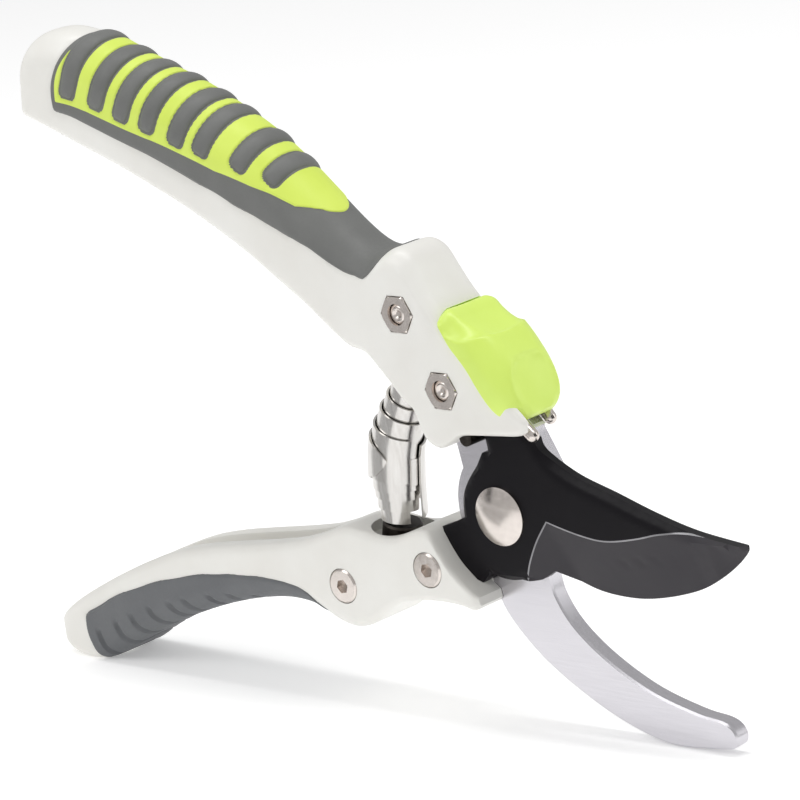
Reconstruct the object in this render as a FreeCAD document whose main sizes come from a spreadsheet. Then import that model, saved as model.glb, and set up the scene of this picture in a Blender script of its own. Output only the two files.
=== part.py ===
import FreeCAD, Part
import math
import os

# Bypass pruning shears, in millimetres.
#
# The shears lie in the XZ plane and the pivot runs along Y through the origin.  +X points to the
# blades, +Z is up, and -Y is the side that carries the black cutting blade.  The model stands fully
# open.  A hook plate belongs to the upper handle, the cutting blade to the lower one, and a thumb
# slide on the head carries the latch that holds the blade shut.

V = FreeCAD.Vector
doc = FreeCAD.newDocument("PruningShears")
sheet = doc.addObject("Spreadsheet::Sheet", "Sizes")

SIZES = [
    ("handle_length", 126.8, "from the pivot back to the end of the lower handle"),
    ("blade_thick", 3.0, "cutting blade, plate thickness"),
    ("hook_thick", 3.3, "hook plate, thickness"),
    ("shear_gap", 0.1, "running gap between blade and hook"),
    ("cheek_near", 4.5, "casting wall outside the blade"),
    ("cheek_far", 4.7, "casting wall outside the hook"),
    ("edge_round", 1.5, "rounding of the castings' outer edges"),
    ("pivot_shaft_radius", 3.5, "pivot bolt shank"),
    ("pivot_play", 0.04, "radial play of the blade on the shank"),
    ("pivot_head_radius", 5.85, "pivot bolt head"),
    ("pivot_head_height", 1.9, "pivot bolt head, crown above the blade"),
    ("washer_radius", 6.4, "disc spring under the pivot nut"),
    ("washer_thick", 0.8, "disc spring, flattened"),
    ("pivot_nut_flats", 10.0, "pivot nut, across flats"),
    ("pivot_nut_height", 3.6, "pivot nut"),
    ("hub_radius", 12.4, "cutting blade around the pivot"),
    ("hook_hub_radius", 13.6, "hook plate around the pivot"),
    ("bolt_radius", 2.0, "handle bolts, M4"),
    ("nut_flats", 7.0, "handle nuts, M4 across flats"),
    ("nut_height", 2.4, "handle nuts, low form"),
    ("head_radius", 3.5, "socket head of the handle bolts"),
    ("head_height", 2.4, "socket head of the handle bolts"),
    ("socket_flats", 2.6, "hex socket across flats"),
    ("proud", 0.3, "how far nuts and heads stand out of the castings"),
    ("pin_radius", 1.5, "stop pin"),
    ("pin_seat", 3.0, "depth of the stop pin's seats in the casting"),
    ("tooth_radius", 22.0, "lock tooth on the blade, tip circle"),
    ("tooth_depth", 3.2, "lock tooth, depth of its flank"),
    ("swing_play", 0.5, "room around the swinging blade and hook"),
    ("latch_wire_radius", 1.3, "latch staple wire"),
    ("latch_play", 0.2, "room beside the latch staple's legs"),
    ("latch_clear", 1.9, "room between the tooth's tip circle and the latch staple"),
    ("latch_back", 0.7, "room behind the latch staple at rest"),
    ("latch_under", 0.3, "room under the latch staple"),
    ("lock_travel", 7.0, "travel of the thumb slide"),
    ("lock_play", 0.2, "room between thumb slide and head"),
    ("lock_round", 0.8, "rounding of the thumb slide's side edges"),
    ("lock_shoulder", 4.2, "slope of the thumb slide's shoulders"),
    ("lock_skirt", 1.0, "skirt of the thumb slide beside the head"),
    ("spring_radius", 5.7, "volute spring, largest turn"),
    ("spring_end_radius", 4.2, "volute spring, end turn"),
    ("seat_height", 1.7, "spring seat plugs"),
    ("seat_play", 0.2, "how much smaller the plugs are than the end turns"),
    ("channel_width", 5.6, "hollow along the inside of the handles"),
    ("channel_depth", 5.0, "hollow along the inside of the handles"),
    ("skin", 2.4, "thickness of the soft grips over the castings"),
    ("inlay_depth", 1.2, "thickness of the coloured inlay"),
    ("rib_count", 8, "soft ribs that come through the inlay"),
    ("rib_width", 4.2, "soft ribs, along the handle"),
    ("groove_count", 9, "finger grooves of the lower grip"),
    ("groove_radius", 0.9, "finger grooves"),
]
for row, (alias, value, note) in enumerate(SIZES, 1):
    sheet.set("A%d" % row, alias)
    sheet.set("B%d" % row, str(value))
    sheet.set("C%d" % row, note)
    sheet.setAlias("B%d" % row, alias)
doc.recompute()


def size(alias):
    return float(sheet.get(alias))


# ---------------------------------------------------------------- places along the pivot
blade_far = -size("shear_gap")
blade_near = blade_far - size("blade_thick")
hook_near = 0.0
hook_far = size("hook_thick")
case_near = blade_near - size("cheek_near")
case_far = hook_far + size("cheek_far")
case_mid = (case_near + case_far) / 2

# ---------------------------------------------------------------- places in the shears' plane
head_bolts = [(-7.4, 25.4), (-16.5, 39.8)]
tang_screws = [(-16.6, -11.5), (-39.8, -17.5)]
stop_pin_at = (-4.0, 15.8)
slide_angle = math.radians(-44.2)
slide_dir = V(math.cos(slide_angle), 0, math.sin(slide_angle))
slide_out = V(-math.sin(slide_angle), 0, math.cos(slide_angle))
slide_origin = V(-8.2, 0, 41.0)
latch_angle = math.radians(82.93)
latch_reach = size("tooth_radius") + size("latch_clear") + size("latch_wire_radius")
latch_rest = (latch_reach * math.cos(latch_angle), latch_reach * math.sin(latch_angle))
latch_offset = V(latch_rest[0], 0, latch_rest[1]) - slide_origin
latch_along = latch_offset.dot(slide_dir)
latch_out = latch_offset.dot(slide_out)
latch_tip_near = (latch_rest[0] + 8.8, latch_rest[1] - 7.4)
latch_tip_far = (latch_rest[0] + 5.3, latch_rest[1] - 6.8)
spring_low = V(-29.7, case_mid, -9.0)
spring_high = V(-21.2, case_mid, 31.0)


# The handles' outlines are drawn for a length of 126.8.  Behind the castings' cheeks they stretch with it.
drawn_length = 126.8
cheeks_end = -48.0


# ---------------------------------------------------------------- drawing helpers
def stretched(x):
    if x > cheeks_end:
        return x
    return cheeks_end + (x - cheeks_end) * (size("handle_length") + cheeks_end) / (drawn_length + cheeks_end)


def point(xz, y=0.0):
    return V(stretched(xz[0]), y, xz[1])


def polar(radius, degrees, y=0.0):
    a = math.radians(degrees)
    return V(radius * math.cos(a), y, radius * math.sin(a))


def line(a, b):
    return Part.LineSegment(a, b).toShape()


def arc(a, mid, b):
    return Part.Arc(a, mid, b).toShape()


def curve(points):
    spline = Part.BSplineCurve()
    spline.interpolate(points)
    return spline.toShape()


def profile(steps):
    """A closed wire from (kind, points) steps, each step starting where the last one ended."""
    edges = []
    at = steps[0]
    for kind, points in steps[1:]:
        points = [point(p) if isinstance(p, tuple) else p for p in points]
        if kind == "line":
            for p in points:
                edges.append(line(at, p))
                at = p
        elif kind == "curve":
            edges.append(curve([at] + points))
            at = points[-1]
        elif kind == "arc":
            edges.append(arc(at, points[0], points[1]))
            at = points[1]
    return Part.Wire(edges)


def soft_outline(corners):
    """A closed wire of straight runs and tangent arcs.

    Each corner is (x, z) or (x, z, radius).  With no radius of its own a corner gets the largest
    arc that leaves its two runs a tenth of their length.
    """
    count = len(corners)
    cuts = []
    for i, corner in enumerate(corners):
        here = point(corner)
        before = point(corners[i - 1]) - here
        after = point(corners[(i + 1) % count]) - here
        half = (math.pi - before.getAngle(after)) / 2
        reach = 0.45 * min(before.Length, after.Length)
        if len(corner) == 3:
            reach = min(reach, corner[2] * math.tan(half))
        radius = reach / math.tan(half)
        start = here + before.normalize() * reach
        end = here + after.normalize() * reach
        inward = (before + after).normalize()
        middle = here + inward * (radius / math.cos(half) - radius)
        cuts.append((start, middle, end))
    edges = []
    for i, (start, middle, end) in enumerate(cuts):
        edges.append(arc(start, middle, end))
        edges.append(line(end, cuts[(i + 1) % count][0]))
    return Part.Wire(edges)


def slab(wire, y0, y1):
    """The wire's face, drawn through Y from y0 to y1."""
    flat = wire.copy()
    flat.translate(V(0, y0, 0))
    return Part.Face(flat).extrude(V(0, y1 - y0, 0))


def rod(radius, at, y0, y1):
    return Part.makeCylinder(radius, y1 - y0, V(at[0], y0, at[1]), V(0, 1, 0))


def hexagon(flats, at, y0, y1, turn=0.0):
    radius = flats / math.sqrt(3)
    corners = [point(at) + polar(radius, 60 * i + turn) for i in range(7)]
    return slab(Part.makePolygon(corners), y0, y1)


def slide_point(along, out, y=0.0):
    return slide_origin + slide_dir * along + slide_out * out + V(0, y, 0)


def slide_box(a0, a1, o0, o1, y0, y1):
    corners = [(a0, o0), (a1, o0), (a1, o1), (a0, o1), (a0, o0)]
    return slab(Part.makePolygon([slide_point(a, o) for a, o in corners]), y0, y1)


def rounded(shape, radius, y_near, y_far):
    """Round the edges that lie in the near and far side faces."""
    rim = [e for e in shape.Edges
           if all(abs(v.Y - y_near) < 1e-4 for v in e.Vertexes)
           or all(abs(v.Y - y_far) < 1e-4 for v in e.Vertexes)]
    return shape.makeFillet(radius, rim)


def keep(name, shape):
    """A document object for a piece that only Part's own functions can make."""
    if shape.ShapeType == "Compound" and len(shape.Solids) == 1:
        shape = shape.Solids[0]
    piece = doc.addObject("Part::Feature", name)
    piece.Label = name
    piece.Shape = shape
    nodes.append(piece)
    return piece


nodes = []


# ---------------------------------------------------------------- hook plate (counter blade)
def make_hook():
    r = size("hook_hub_radius")
    guide = latch_out - size("latch_wire_radius") - size("latch_under")
    guide_back = latch_along - size("latch_wire_radius") - size("latch_back")
    guide_end = latch_along + size("latch_wire_radius") + size("lock_travel")
    outline = profile([
        point((8.0, -10.9)),
        ("curve", [(9.0, -15.9), (12.8, -21.6), (20.0, -27.3), (30.0, -32.4), (40.5, -35.3), (46.5, -36.1)]),
        ("curve", [(49.2, -37.3), (50.1, -39.2), (48.6, -41.2)]),
        ("curve", [(44.0, -42.0), (33.7, -42.5), (23.6, -39.9), (13.6, -35.3), (3.8, -29.0), (-3.4, -21.8),
                   (-6.6, -15.6)]),
        ("line", [(-7.4, -13.2)]),
        ("arc", [polar(r, 195), polar(r, 146)]),
        ("curve", [(-12.3, 13.0), (-12.9, 22.0), (-13.6, 30.5)]),
        ("curve", [(-17.5, 33.6), (-21.4, 38.0)]),
        ("curve", [(-21.3, 44.0), (-15.8, 46.6), (-10.6, 43.2)]),
        ("line", [slide_point(2.0, -1.6), slide_point(guide_back, -1.6), slide_point(guide_back, guide),
                  slide_point(guide_end, guide), (8.3, 16.7)]),
        ("curve", [(10.2, 13.2), (12.2, 9.4)]),
        ("arc", [polar(15.4, 0), polar(15.4, -40)]),
        ("line", [(8.0, -10.9)]),
    ])
    plate = slab(outline, hook_near, hook_far)
    for at in head_bolts:
        plate = plate.cut(rod(size("bolt_radius"), at, hook_near, hook_far))
    plate = plate.cut(rod(size("pin_radius"), stop_pin_at, hook_near, hook_far))
    plate = plate.cut(rod(size("pivot_shaft_radius"), (0, 0), hook_near, hook_far))
    return plate


# ---------------------------------------------------------------- cutting blade
def make_blade():
    r = size("hub_radius")
    tooth = size("tooth_radius")
    neck = tooth - size("tooth_depth")
    outline = profile([
        polar(neck, 58),
        ("curve", [(11.4, 13.4), (18.5, 9.5), (27.3, 6.7), (36.5, 3.7), (46.0, 1.3), (57.4, -0.2)]),
        ("curve", [(57.7, -1.4), (54.3, -4.6), (49.6, -8.0), (44.2, -10.7), (36.0, -13.0), (28.5, -13.9),
                   (20.0, -13.2), (11.1, -10.2)]),
        ("arc", [polar(r + 0.6, -80), polar(r + 1.4, -113)]),
        ("curve", [(-9.0, -15.6), (-20.0, -17.6), (-34.0, -20.8), (-41.5, -21.8)]),
        ("curve", [(-44.6, -19.0), (-43.6, -14.8)]),
        ("line", [(-36.0, -12.4), (-25.0, -10.4), (-22.2, -7.4)]),
        ("curve", [(-18.2, -4.8), (-14.0, -3.3), (-9.9, -1.5)]),
        ("curve", [(-9.6, 2.6), (-7.9, 6.0), (-4.7, 9.9), polar(r + 0.2, 98.2)]),
        ("line", [polar(tooth, 98.2)]),
        ("arc", [polar(tooth, 91), polar(tooth, 85)]),
        ("line", [polar(neck, 83)]),
        ("arc", [polar(neck, 70), polar(neck, 58)]),
    ])
    blade = slab(outline, blade_near, blade_far)
    # Ground bevel: from a line on the near face down to the cutting edge on the shear face.
    land = 0.15
    stations = [(5.0, -11.4, -11.8), (8.3, -4.4, -11.0), (11.4, 0.0, -10.6), (19.5, -1.7, -13.4),
                (28.0, -2.0, -14.2), (38.6, 0.4, -12.6), (48.0, 1.5, -9.2), (58.5, 1.4, -1.0)]
    full = 2.0 * 5.3
    sections = []
    for x, top, low in stations:
        depth = min(1.0, (top - low) / full) * (size("blade_thick") - land)
        run = max(top - low, 0.5)
        over = 2.0
        upper = V(x, blade_near - over, top + run * over / max(depth, 0.3))
        edge = V(x, blade_near + depth, low)
        below = V(x, blade_near + depth, low - 3.0)
        outer = V(x, blade_near - over, low - 3.0)
        sections.append(Part.makePolygon([upper, edge, below, outer, upper]))
    blade = blade.cut(Part.makeLoft(sections, True, True))
    # Back of the blade falls away towards the shear face.
    back = []
    for x, z in [(9.0, 14.2), (14.5, 10.6), (22.9, 6.4), (29.2, 4.1), (35.5, 2.6), (46.0, 0.6), (58.0, -1.4)]:
        back.append(Part.makePolygon([V(x, blade_near - 1.0, z - 1.2), V(x, blade_far - 0.6, z + 3.0),
                                      V(x, blade_near - 1.0, z + 8.0), V(x, blade_near - 1.0, z - 1.2)]))
    blade = blade.cut(Part.makeLoft(back, True, True))
    for at in tang_screws:
        blade = blade.cut(rod(size("bolt_radius"), at, blade_near, blade_far))
    bore = size("pivot_shaft_radius") + size("pivot_play")
    return blade.cut(rod(bore, (0, 0), blade_near, blade_far))


# ---------------------------------------------------------------- outlines of the handles
def upper_outline():
    front = slide_point(0.0, 0.0)
    return soft_outline([
        (-114.6, 75.4, 2.5), (-97.0, 69.8), (-80.0, 63.4), (-62.0, 55.2), (-46.0, 45.4), (-33.0, 34.6),
        (-27.6, 32.4), (-22.6, 28.4), (-16.6, 21.6), (-13.6, 15.6), (-9.6, 13.6), (-4.6, 16.6),
        (11.0, 17.8, 1.5), (12.7, 20.4, 1.5), (front.x, front.z), (-14.6, 50.8), (-19.6, 51.2), (-33.4, 58.6),
        (-47.5, 70.6), (-62.0, 79.2), (-79.6, 86.2), (-95.0, 91.4), (-106.6, 92.4), (-113.8, 86.0),
        (-116.0, 78.6)])


def lower_outline():
    return soft_outline([
        (-15.0, -4.2, 1.5), (-12.1, -9.7), (-7.3, -14.3), (-4.2, -16.2, 1.2), (-5.2, -18.6, 1.2), (-12.0, -18.0),
        (-19.6, -18.4), (-27.0, -20.4), (-33.6, -25.0), (-39.0, -26.0), (-48.0, -22.8), (-60.0, -22.1),
        (-73.0, -24.6), (-87.0, -29.2), (-100.0, -35.2), (-110.4, -41.6), (-118.6, -43.2), (-125.2, -40.2),
        (-126.8, -35.2), (-116.0, -28.2), (-102.0, -21.2), (-88.0, -16.2), (-72.0, -12.8), (-56.0, -10.4),
        (-45.6, -7.4), (-38.6, -4.6), (-33.6, -4.9), (-25.6, -5.4), (-19.2, -3.2)])


def upper_grip_region():
    return profile([
        point((-107.2, 77.0)),
        ("curve", [(-89.6, 71.2), (-75.2, 66.2), (-56.8, 58.7), (-37.8, 51.0), (-31.3, 47.9), (-26.8, 46.4)]),
        ("curve", [(-22.6, 46.5), (-19.5, 48.4), (-18.6, 54.0)]),
        ("line", [(-20.0, 64.0), (-60.0, 100.0), (-98.5, 100.0), (-98.5, 93.6)]),
        ("curve", [(-103.6, 90.0), (-107.2, 85.0), (-108.4, 79.4), (-107.2, 77.0)]),
    ])


def inlay_region():
    return profile([
        point((-104.6, 78.0)),
        ("curve", [(-94.3, 75.7), (-79.8, 71.5), (-60.9, 65.0), (-45.0, 60.0), (-38.5, 58.6)]),
        ("curve", [(-35.6, 59.2), (-33.4, 62.0)]),
        ("line", [(-45.0, 90.0), (-60.0, 100.0), (-96.5, 100.0), (-96.5, 94.0)]),
        ("curve", [(-101.8, 89.4), (-105.0, 83.6), (-105.6, 80.0), (-104.6, 78.0)]),
    ])


def lower_grip_region():
    return profile([
        point((-44.0, -23.4)),
        ("curve", [(-48.5, -20.8), (-53.4, -18.9), (-61.0, -18.0), (-70.0, -18.4), (-80.8, -19.8), (-93.2, -22.7),
                   (-102.5, -25.9), (-110.0, -29.2), (-116.4, -32.3)]),
        ("curve", [(-119.0, -34.6), (-118.6, -37.2), (-114.0, -40.6)]),
        ("line", [(-112.0, -50.0), (-44.0, -50.0), (-44.0, -23.4)]),
    ])


def inset(wire, by):
    face = Part.Face(wire)
    return face.makeOffset2D(-by, 2).OuterWire


# ---------------------------------------------------------------- the two castings and their grips
def spring_axis():
    return (spring_high - spring_low).normalize()


def spring_pocket(at, direction, depth):
    room = size("spring_radius") + 0.5
    return Part.makeCylinder(room, depth, at, direction)


def bolt_holes(shape, places, near_is_nut, y0, y1):
    """Holes and seats for the bolts: a hex pocket on the nut's side, a round one on the head's side."""
    out = size("proud")
    for at in places:
        shape = shape.cut(rod(size("bolt_radius"), at, y0 - 1, y1 + 1))
        nut_depth = size("nut_height") - out
        head_depth = size("head_height") - out
        if near_is_nut:
            shape = shape.cut(hexagon(size("nut_flats"), at, y0 - 1, y0 + nut_depth))
            shape = shape.cut(rod(size("head_radius"), at, y1 - head_depth, y1 + 1))
        else:
            shape = shape.cut(hexagon(size("nut_flats"), at, y1 - nut_depth, y1 + 1))
            shape = shape.cut(rod(size("head_radius"), at, y0 - 1, y0 + head_depth))
    return shape


def make_upper(hook):
    wire = upper_outline()
    full = rounded(slab(wire, case_near, case_far), size("edge_round"), case_near, case_far)
    skin = size("skin")
    core = slab(inset(wire, skin), case_near + skin, case_far - skin)
    region = slab(upper_grip_region(), case_near - 1, case_far + 1)
    grip = full.common(region).cut(core)
    casting = full.cut(grip)
    depth = size("inlay_depth")
    inner = slab(inset(wire, depth), case_near + depth, case_far - depth)
    inlay = full.common(slab(inlay_region(), case_near - 1, case_far + 1)).cut(inner)
    ribs = []
    count = int(size("rib_count"))
    first = point((-96.4, 84.0))
    last = point((-43.6, 64.4))
    for i in range(count):
        share = i / (count - 1)
        centre = first + (last - first) * share
        lean = math.radians(68 - 14 * share)
        up = V(math.cos(lean), 0, math.sin(lean))
        side = V(up.z, 0, -up.x) * (size("rib_width") / 2)
        foot = centre - up * 5.4
        crown = centre + up * 22
        ribs.append(slab(Part.makePolygon([foot - side, foot + side, crown + side, crown - side, foot - side]),
                         case_near - 1, case_far + 1))
    inlay = inlay.cut(Part.makeCompound(ribs))
    grip = grip.cut(inlay)

    # The hook plate's seat, the blade's swing, and the latch's two channels.
    casting = casting.cut(hook)
    swing = size("tooth_radius") + size("swing_play")
    casting = casting.cut(rod(swing, (0, 0), blade_near - 0.2, hook_near))
    wire_r = size("latch_wire_radius")
    play = size("latch_play")
    back = latch_along - wire_r - size("latch_back")
    under = latch_out - wire_r - size("latch_under")
    for y, floor in zip(latch_planes(), (under, under - 1.5)):
        casting = casting.cut(slide_box(back, 60, floor, 4, y - wire_r - play, y + wire_r + play))
    # The far wall stops short of the near one, behind the latch's far leg.
    short = Part.makePolygon([V(5.4, 0, 10), V(30, 0, 10), V(30, 0, 30), V(5.4, 0, 30), V(5.4, 0, 10)])
    casting = casting.cut(slab(short, hook_far, case_far + 1))
    casting = casting.cut(slide_box(back, 60, under, 4, latch_planes()[0], latch_planes()[1]))
    seat = size("pin_seat")
    casting = casting.cut(rod(size("pin_radius"), stop_pin_at, blade_near - seat, hook_far + seat))
    casting = bolt_holes(casting, head_bolts, True, case_near, case_far)
    casting = casting.cut(spring_pocket(spring_high, spring_axis() * -1, 30))
    # Hollow along the inside of the handle.
    half = size("channel_width") / 2
    reach = size("channel_depth")
    hollow = profile([
        point((-104.0, 60.0)),
        ("line", [(-102.0, 71.6 + reach - 1.5)]),
        ("curve", [(-80.8, 63.6 + reach), (-62.3, 55.2 + reach), (-48.2, 46.9 + reach), (-38.0, 40.0 + reach)]),
        ("line", [(-34.5, 34.0), (-40.0, 20.0), (-104.0, 60.0)]),
    ])
    casting = casting.cut(slab(hollow, case_mid - half, case_mid + half))
    # The cuts for the plate and the latch part a chip from the head's front edge.
    casting = max(casting.Solids, key=lambda solid: solid.Volume)
    return casting, grip, inlay


def make_lower(blade):
    wire = lower_outline()
    full = rounded(slab(wire, case_near, case_far), size("edge_round"), case_near, case_far)
    skin = size("skin")
    core = slab(inset(wire, skin), case_near + skin, case_far - skin)
    region = slab(lower_grip_region(), case_near - 1, case_far + 1)
    grip = full.common(region).cut(core)
    casting = full.cut(grip)
    casting = casting.cut(blade)
    hub = size("hook_hub_radius") + 1.9
    casting = casting.cut(rod(hub, (0, 0), blade_far, hook_far + size("swing_play")))
    notch = Part.makePolygon([V(-9.4, 0, -8), V(5, 0, -8), V(5, 0, -24), V(-9.4, 0, -24), V(-9.4, 0, -8)])
    casting = casting.cut(slab(notch, blade_far, hook_far + size("swing_play")))
    casting = bolt_holes(casting, tang_screws, False, case_near, case_far)
    casting = casting.cut(spring_pocket(spring_low, spring_axis(), 30))
    half = size("channel_width") / 2
    reach = size("channel_depth")
    hollow = profile([
        point((-48.5, 6.0)),
        ("line", [(-48.5, -8.4 - reach)]),
        ("curve", [(-57.0, -10.6 - reach), (-70.2, -12.6 - reach), (-83.2, -15.2 - reach + 0.6),
                   (-96.0, -19.0)]),
        ("line", [(-96.0, 6.0), (-48.5, 6.0)]),
    ])
    casting = casting.cut(slab(hollow, case_mid - half, case_mid + half))
    # Finger grooves around the belly of the grip.
    count = int(size("groove_count"))
    for i in range(count):
        x = stretched(-111.0 + 44.0 * i / (count - 1))
        drop = Part.makeLine(V(x, 0, -60), V(x, 0, -14)).common(Part.Face(wire))
        belly = min(v.Z for v in drop.Vertexes)
        grip = grip.cut(rod(size("groove_radius"), (x, belly), case_near - 1, case_far + 1))
    return casting, grip


# ---------------------------------------------------------------- latch, thumb slide
def latch_planes():
    r = size("latch_wire_radius")
    return blade_near - 0.3 - r, hook_far + 0.2 + r


def make_latch():
    r = size("latch_wire_radius")
    near, far = latch_planes()
    shape = rod(r, latch_rest, near, far)
    for y, tip in ((near, latch_tip_near), (far, latch_tip_far)):
        start = point(latch_rest, y)
        leg = point(tip, y) - start
        shape = shape.fuse(Part.makeCylinder(r, leg.Length, start, leg))
        shape = shape.fuse(Part.makeSphere(r, start))
        shape = shape.fuse(Part.makeSphere(r, point(tip, y)))
    return shape.removeSplitter()


def make_slide(latch):
    play = size("lock_play")
    skirt = size("lock_skirt")
    y0 = case_near - play - skirt
    y1 = case_far + play + skirt
    # (along the slide, out from the head, corner radius): back, top with its two thumb dips, nose, skirt
    steps = [(1.4, 0.3, 0.8), (2.6, 3.0, 2.5), (6.4, 3.7, 4.0), (10.0, 5.8, 4.0), (16.1, 6.0, 6.0),
             (22.6, 4.2, 5.0), (26.4, 0.6, 4.0), (27.0, -2.2, 1.0), (23.2, -3.8, 1.5), (16.9, -2.7, 4.0),
             (8.0, -1.5, 4.0), (5.0, -0.8, 2.0)]
    spots = [slide_point(along, out) for along, out, radius in steps]
    outer = soft_outline([(spot.x, spot.z, step[2]) for spot, step in zip(spots, steps)])
    body = rounded(slab(outer, y0, y1), size("lock_round"), y0, y1)
    shoulder = size("lock_shoulder")
    section = [(y0, -6), (y1, -6), (y1, 2.4), (y1 - shoulder, 6.5), (y0 + shoulder, 6.5), (y0, 2.4), (y0, -6)]
    crown = Part.makePolygon([slide_point(-5, out, y) for y, out in section])
    body = body.common(Part.Face(crown).extrude(slide_dir * 50))
    body = body.cut(slide_box(-6, 60, -20, play, case_near - play, case_far + play))
    near, far = latch_planes()
    r = size("latch_wire_radius")
    for y in (near, far):
        body = body.fuse(slide_box(latch_along, latch_along + 2 * r, latch_out + 1.0, play + 0.4, y - r, y + r))
    return body.cut(latch)


# ---------------------------------------------------------------- fasteners
def bind(feature, prop, text):
    feature.setExpression(prop, text)


def primitive(kind, name, radius, height, at, y, direction=1, turn=0.0, **extra):
    """A Part cylinder or prism along the pivot's direction with its sizes bound to the sheet."""
    feature = doc.addObject(kind, name)
    rotation = FreeCAD.Rotation(V(1, 0, 0), -90 * direction) * FreeCAD.Rotation(V(0, 0, 1), turn)
    feature.Placement = FreeCAD.Placement(V(at[0], y, at[1]), rotation)
    bind(feature, "Radius" if kind == "Part::Cylinder" else "Circumradius", radius)
    bind(feature, "Height", height)
    for key, value in extra.items():
        setattr(feature, key, value)
    return feature


def joined(name, kind, pieces):
    feature = doc.addObject(kind, name)
    if kind == "Part::MultiFuse":
        feature.Shapes = pieces
    else:
        feature.Base, feature.Tool = pieces
    feature.Label = name
    return feature


def make_bolt(name, at, head_side):
    """Socket head bolt; head_side is -1 when the head sits in the near face, 1 in the far face."""
    out = size("proud")
    total = "Sizes.cheek_near + Sizes.blade_thick + Sizes.shear_gap + Sizes.hook_thick + Sizes.cheek_far"
    if head_side < 0:
        head_y, way = case_near - out, 1
    else:
        head_y, way = case_far + out, -1
    head = primitive("Part::Cylinder", name + "_head", "Sizes.head_radius", "Sizes.head_height", at, head_y, way)
    shank = primitive("Part::Cylinder", name + "_shank", "Sizes.bolt_radius", total + " + Sizes.proud", at,
                      head_y, way)
    solid = joined(name + "_solid", "Part::MultiFuse", [head, shank])
    socket = primitive("Part::Prism", name + "_socket", "Sizes.socket_flats / sqrt(3)", "Sizes.head_height * 0.7",
                       at, head_y, way, Polygon=6)
    bolt = joined(name, "Part::Cut", [solid, socket])
    nodes.append(bolt)
    return bolt


def make_nut(name, at, y, direction, flats, height, bore, turn=0.0):
    body = primitive("Part::Prism", name + "_hex", flats + " / sqrt(3)", height, at, y, direction, turn, Polygon=6)
    hole = primitive("Part::Cylinder", name + "_hole", bore, height, at, y, direction)
    nodes.append(joined(name, "Part::Cut", [body, hole]))


def make_pivot_bolt():
    head_r = size("pivot_head_radius")
    rise = size("pivot_head_height")
    end = hook_far + size("washer_thick") + size("pivot_nut_height")
    ball = (head_r ** 2 + (rise - 0.5) ** 2) / (2 * (rise - 0.5))
    dome = Part.makeSphere(ball, V(0, blade_near - rise + ball, 0))
    head = rod(head_r, (0, 0), blade_near - rise, blade_near).common(dome)
    return head.fuse(rod(size("pivot_shaft_radius"), (0, 0), blade_near - 0.2, end)).removeSplitter()


def make_washer():
    disc = primitive("Part::Cylinder", "pivot_washer_disc", "Sizes.washer_radius", "Sizes.washer_thick", (0, 0),
                     hook_far)
    bore = primitive("Part::Cylinder", "pivot_washer_bore", "Sizes.pivot_shaft_radius", "Sizes.washer_thick",
                     (0, 0), hook_far)
    nodes.append(joined("pivot_washer", "Part::Cut", [disc, bore]))


def make_stop_pin():
    length = "Sizes.blade_thick + Sizes.shear_gap + Sizes.hook_thick + 2 * Sizes.pin_seat"
    nodes.append(primitive("Part::Cylinder", "stop_pin", "Sizes.pin_radius", length, stop_pin_at,
                           blade_near - size("pin_seat")))


# ---------------------------------------------------------------- spring and its seats
def make_spring():
    axis = spring_axis()
    seat = size("seat_height")
    length = (spring_high - spring_low).Length - 2 * seat
    start = spring_low + axis * seat
    end_r = size("spring_end_radius")
    mid_r = size("spring_radius")
    low = Part.makeCone(end_r, mid_r, length * 0.45, start, axis)
    mid = Part.makeCylinder(mid_r, length * 0.15, start + axis * (length * 0.45), axis)
    top = Part.makeCone(mid_r, end_r, length * 0.4, start + axis * (length * 0.6), axis)
    return low.fuse([mid, top]).removeSplitter()


def make_seat(name, at, axis):
    seat = doc.addObject("Part::Cylinder", name)
    seat.Placement = FreeCAD.Placement(at, FreeCAD.Rotation(V(0, 0, 1), axis))
    bind(seat, "Radius", "Sizes.spring_end_radius - Sizes.seat_play")
    bind(seat, "Height", "Sizes.seat_height")
    nodes.append(seat)


hook = make_hook()
blade = make_blade()
upper, upper_grip, inlay = make_upper(hook)
lower, lower_grip = make_lower(blade)
latch = make_latch()

keep("hook_blade", hook)
keep("cutting_blade", blade)
keep("upper_handle", upper)
keep("upper_grip", upper_grip)
keep("upper_grip_inlay", inlay)
keep("lower_handle", lower)
keep("lower_grip", lower_grip)
keep("lock_latch", latch)
keep("lock_slide", make_slide(latch))
keep("pivot_bolt", make_pivot_bolt())
make_washer()
make_nut("pivot_nut", (0, 0), hook_far + size("washer_thick"), 1, "Sizes.pivot_nut_flats",
         "Sizes.pivot_nut_height", "Sizes.pivot_shaft_radius", -10.0)
make_stop_pin()
keep("volute_spring", make_spring())
make_seat("lower_spring_seat", spring_low, spring_axis())
make_seat("upper_spring_seat", spring_high, spring_axis() * -1)
m4_nut = ("Sizes.nut_flats", "Sizes.nut_height", "Sizes.bolt_radius")
for place, at in zip(("front", "rear"), head_bolts):
    make_bolt("head_bolt_" + place, at, 1)
    make_nut("head_nut_" + place, at, case_near - size("proud"), 1, *m4_nut)
for place, at in zip(("front", "rear"), tang_screws):
    make_bolt("tang_screw_" + place, at, -1)
    make_nut("tang_nut_" + place, at, case_far + size("proud"), -1, *m4_nut)

doc.recompute()
for item in doc.Objects:
    if "Invalid" in item.State or "Error" in item.State:
        raise RuntimeError("failed object: " + item.Label)
os.makedirs("parts", exist_ok=True)
for piece in nodes:
    shape = piece.Shape
    if shape.isNull() or not shape.isValid():
        raise RuntimeError("bad shape: " + piece.Label)
    print("%-20s solids %d  volume %9.1f" % (piece.Label, len(shape.Solids), shape.Volume))
    shape.exportStep("parts/%s.step" % piece.Label)
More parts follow.
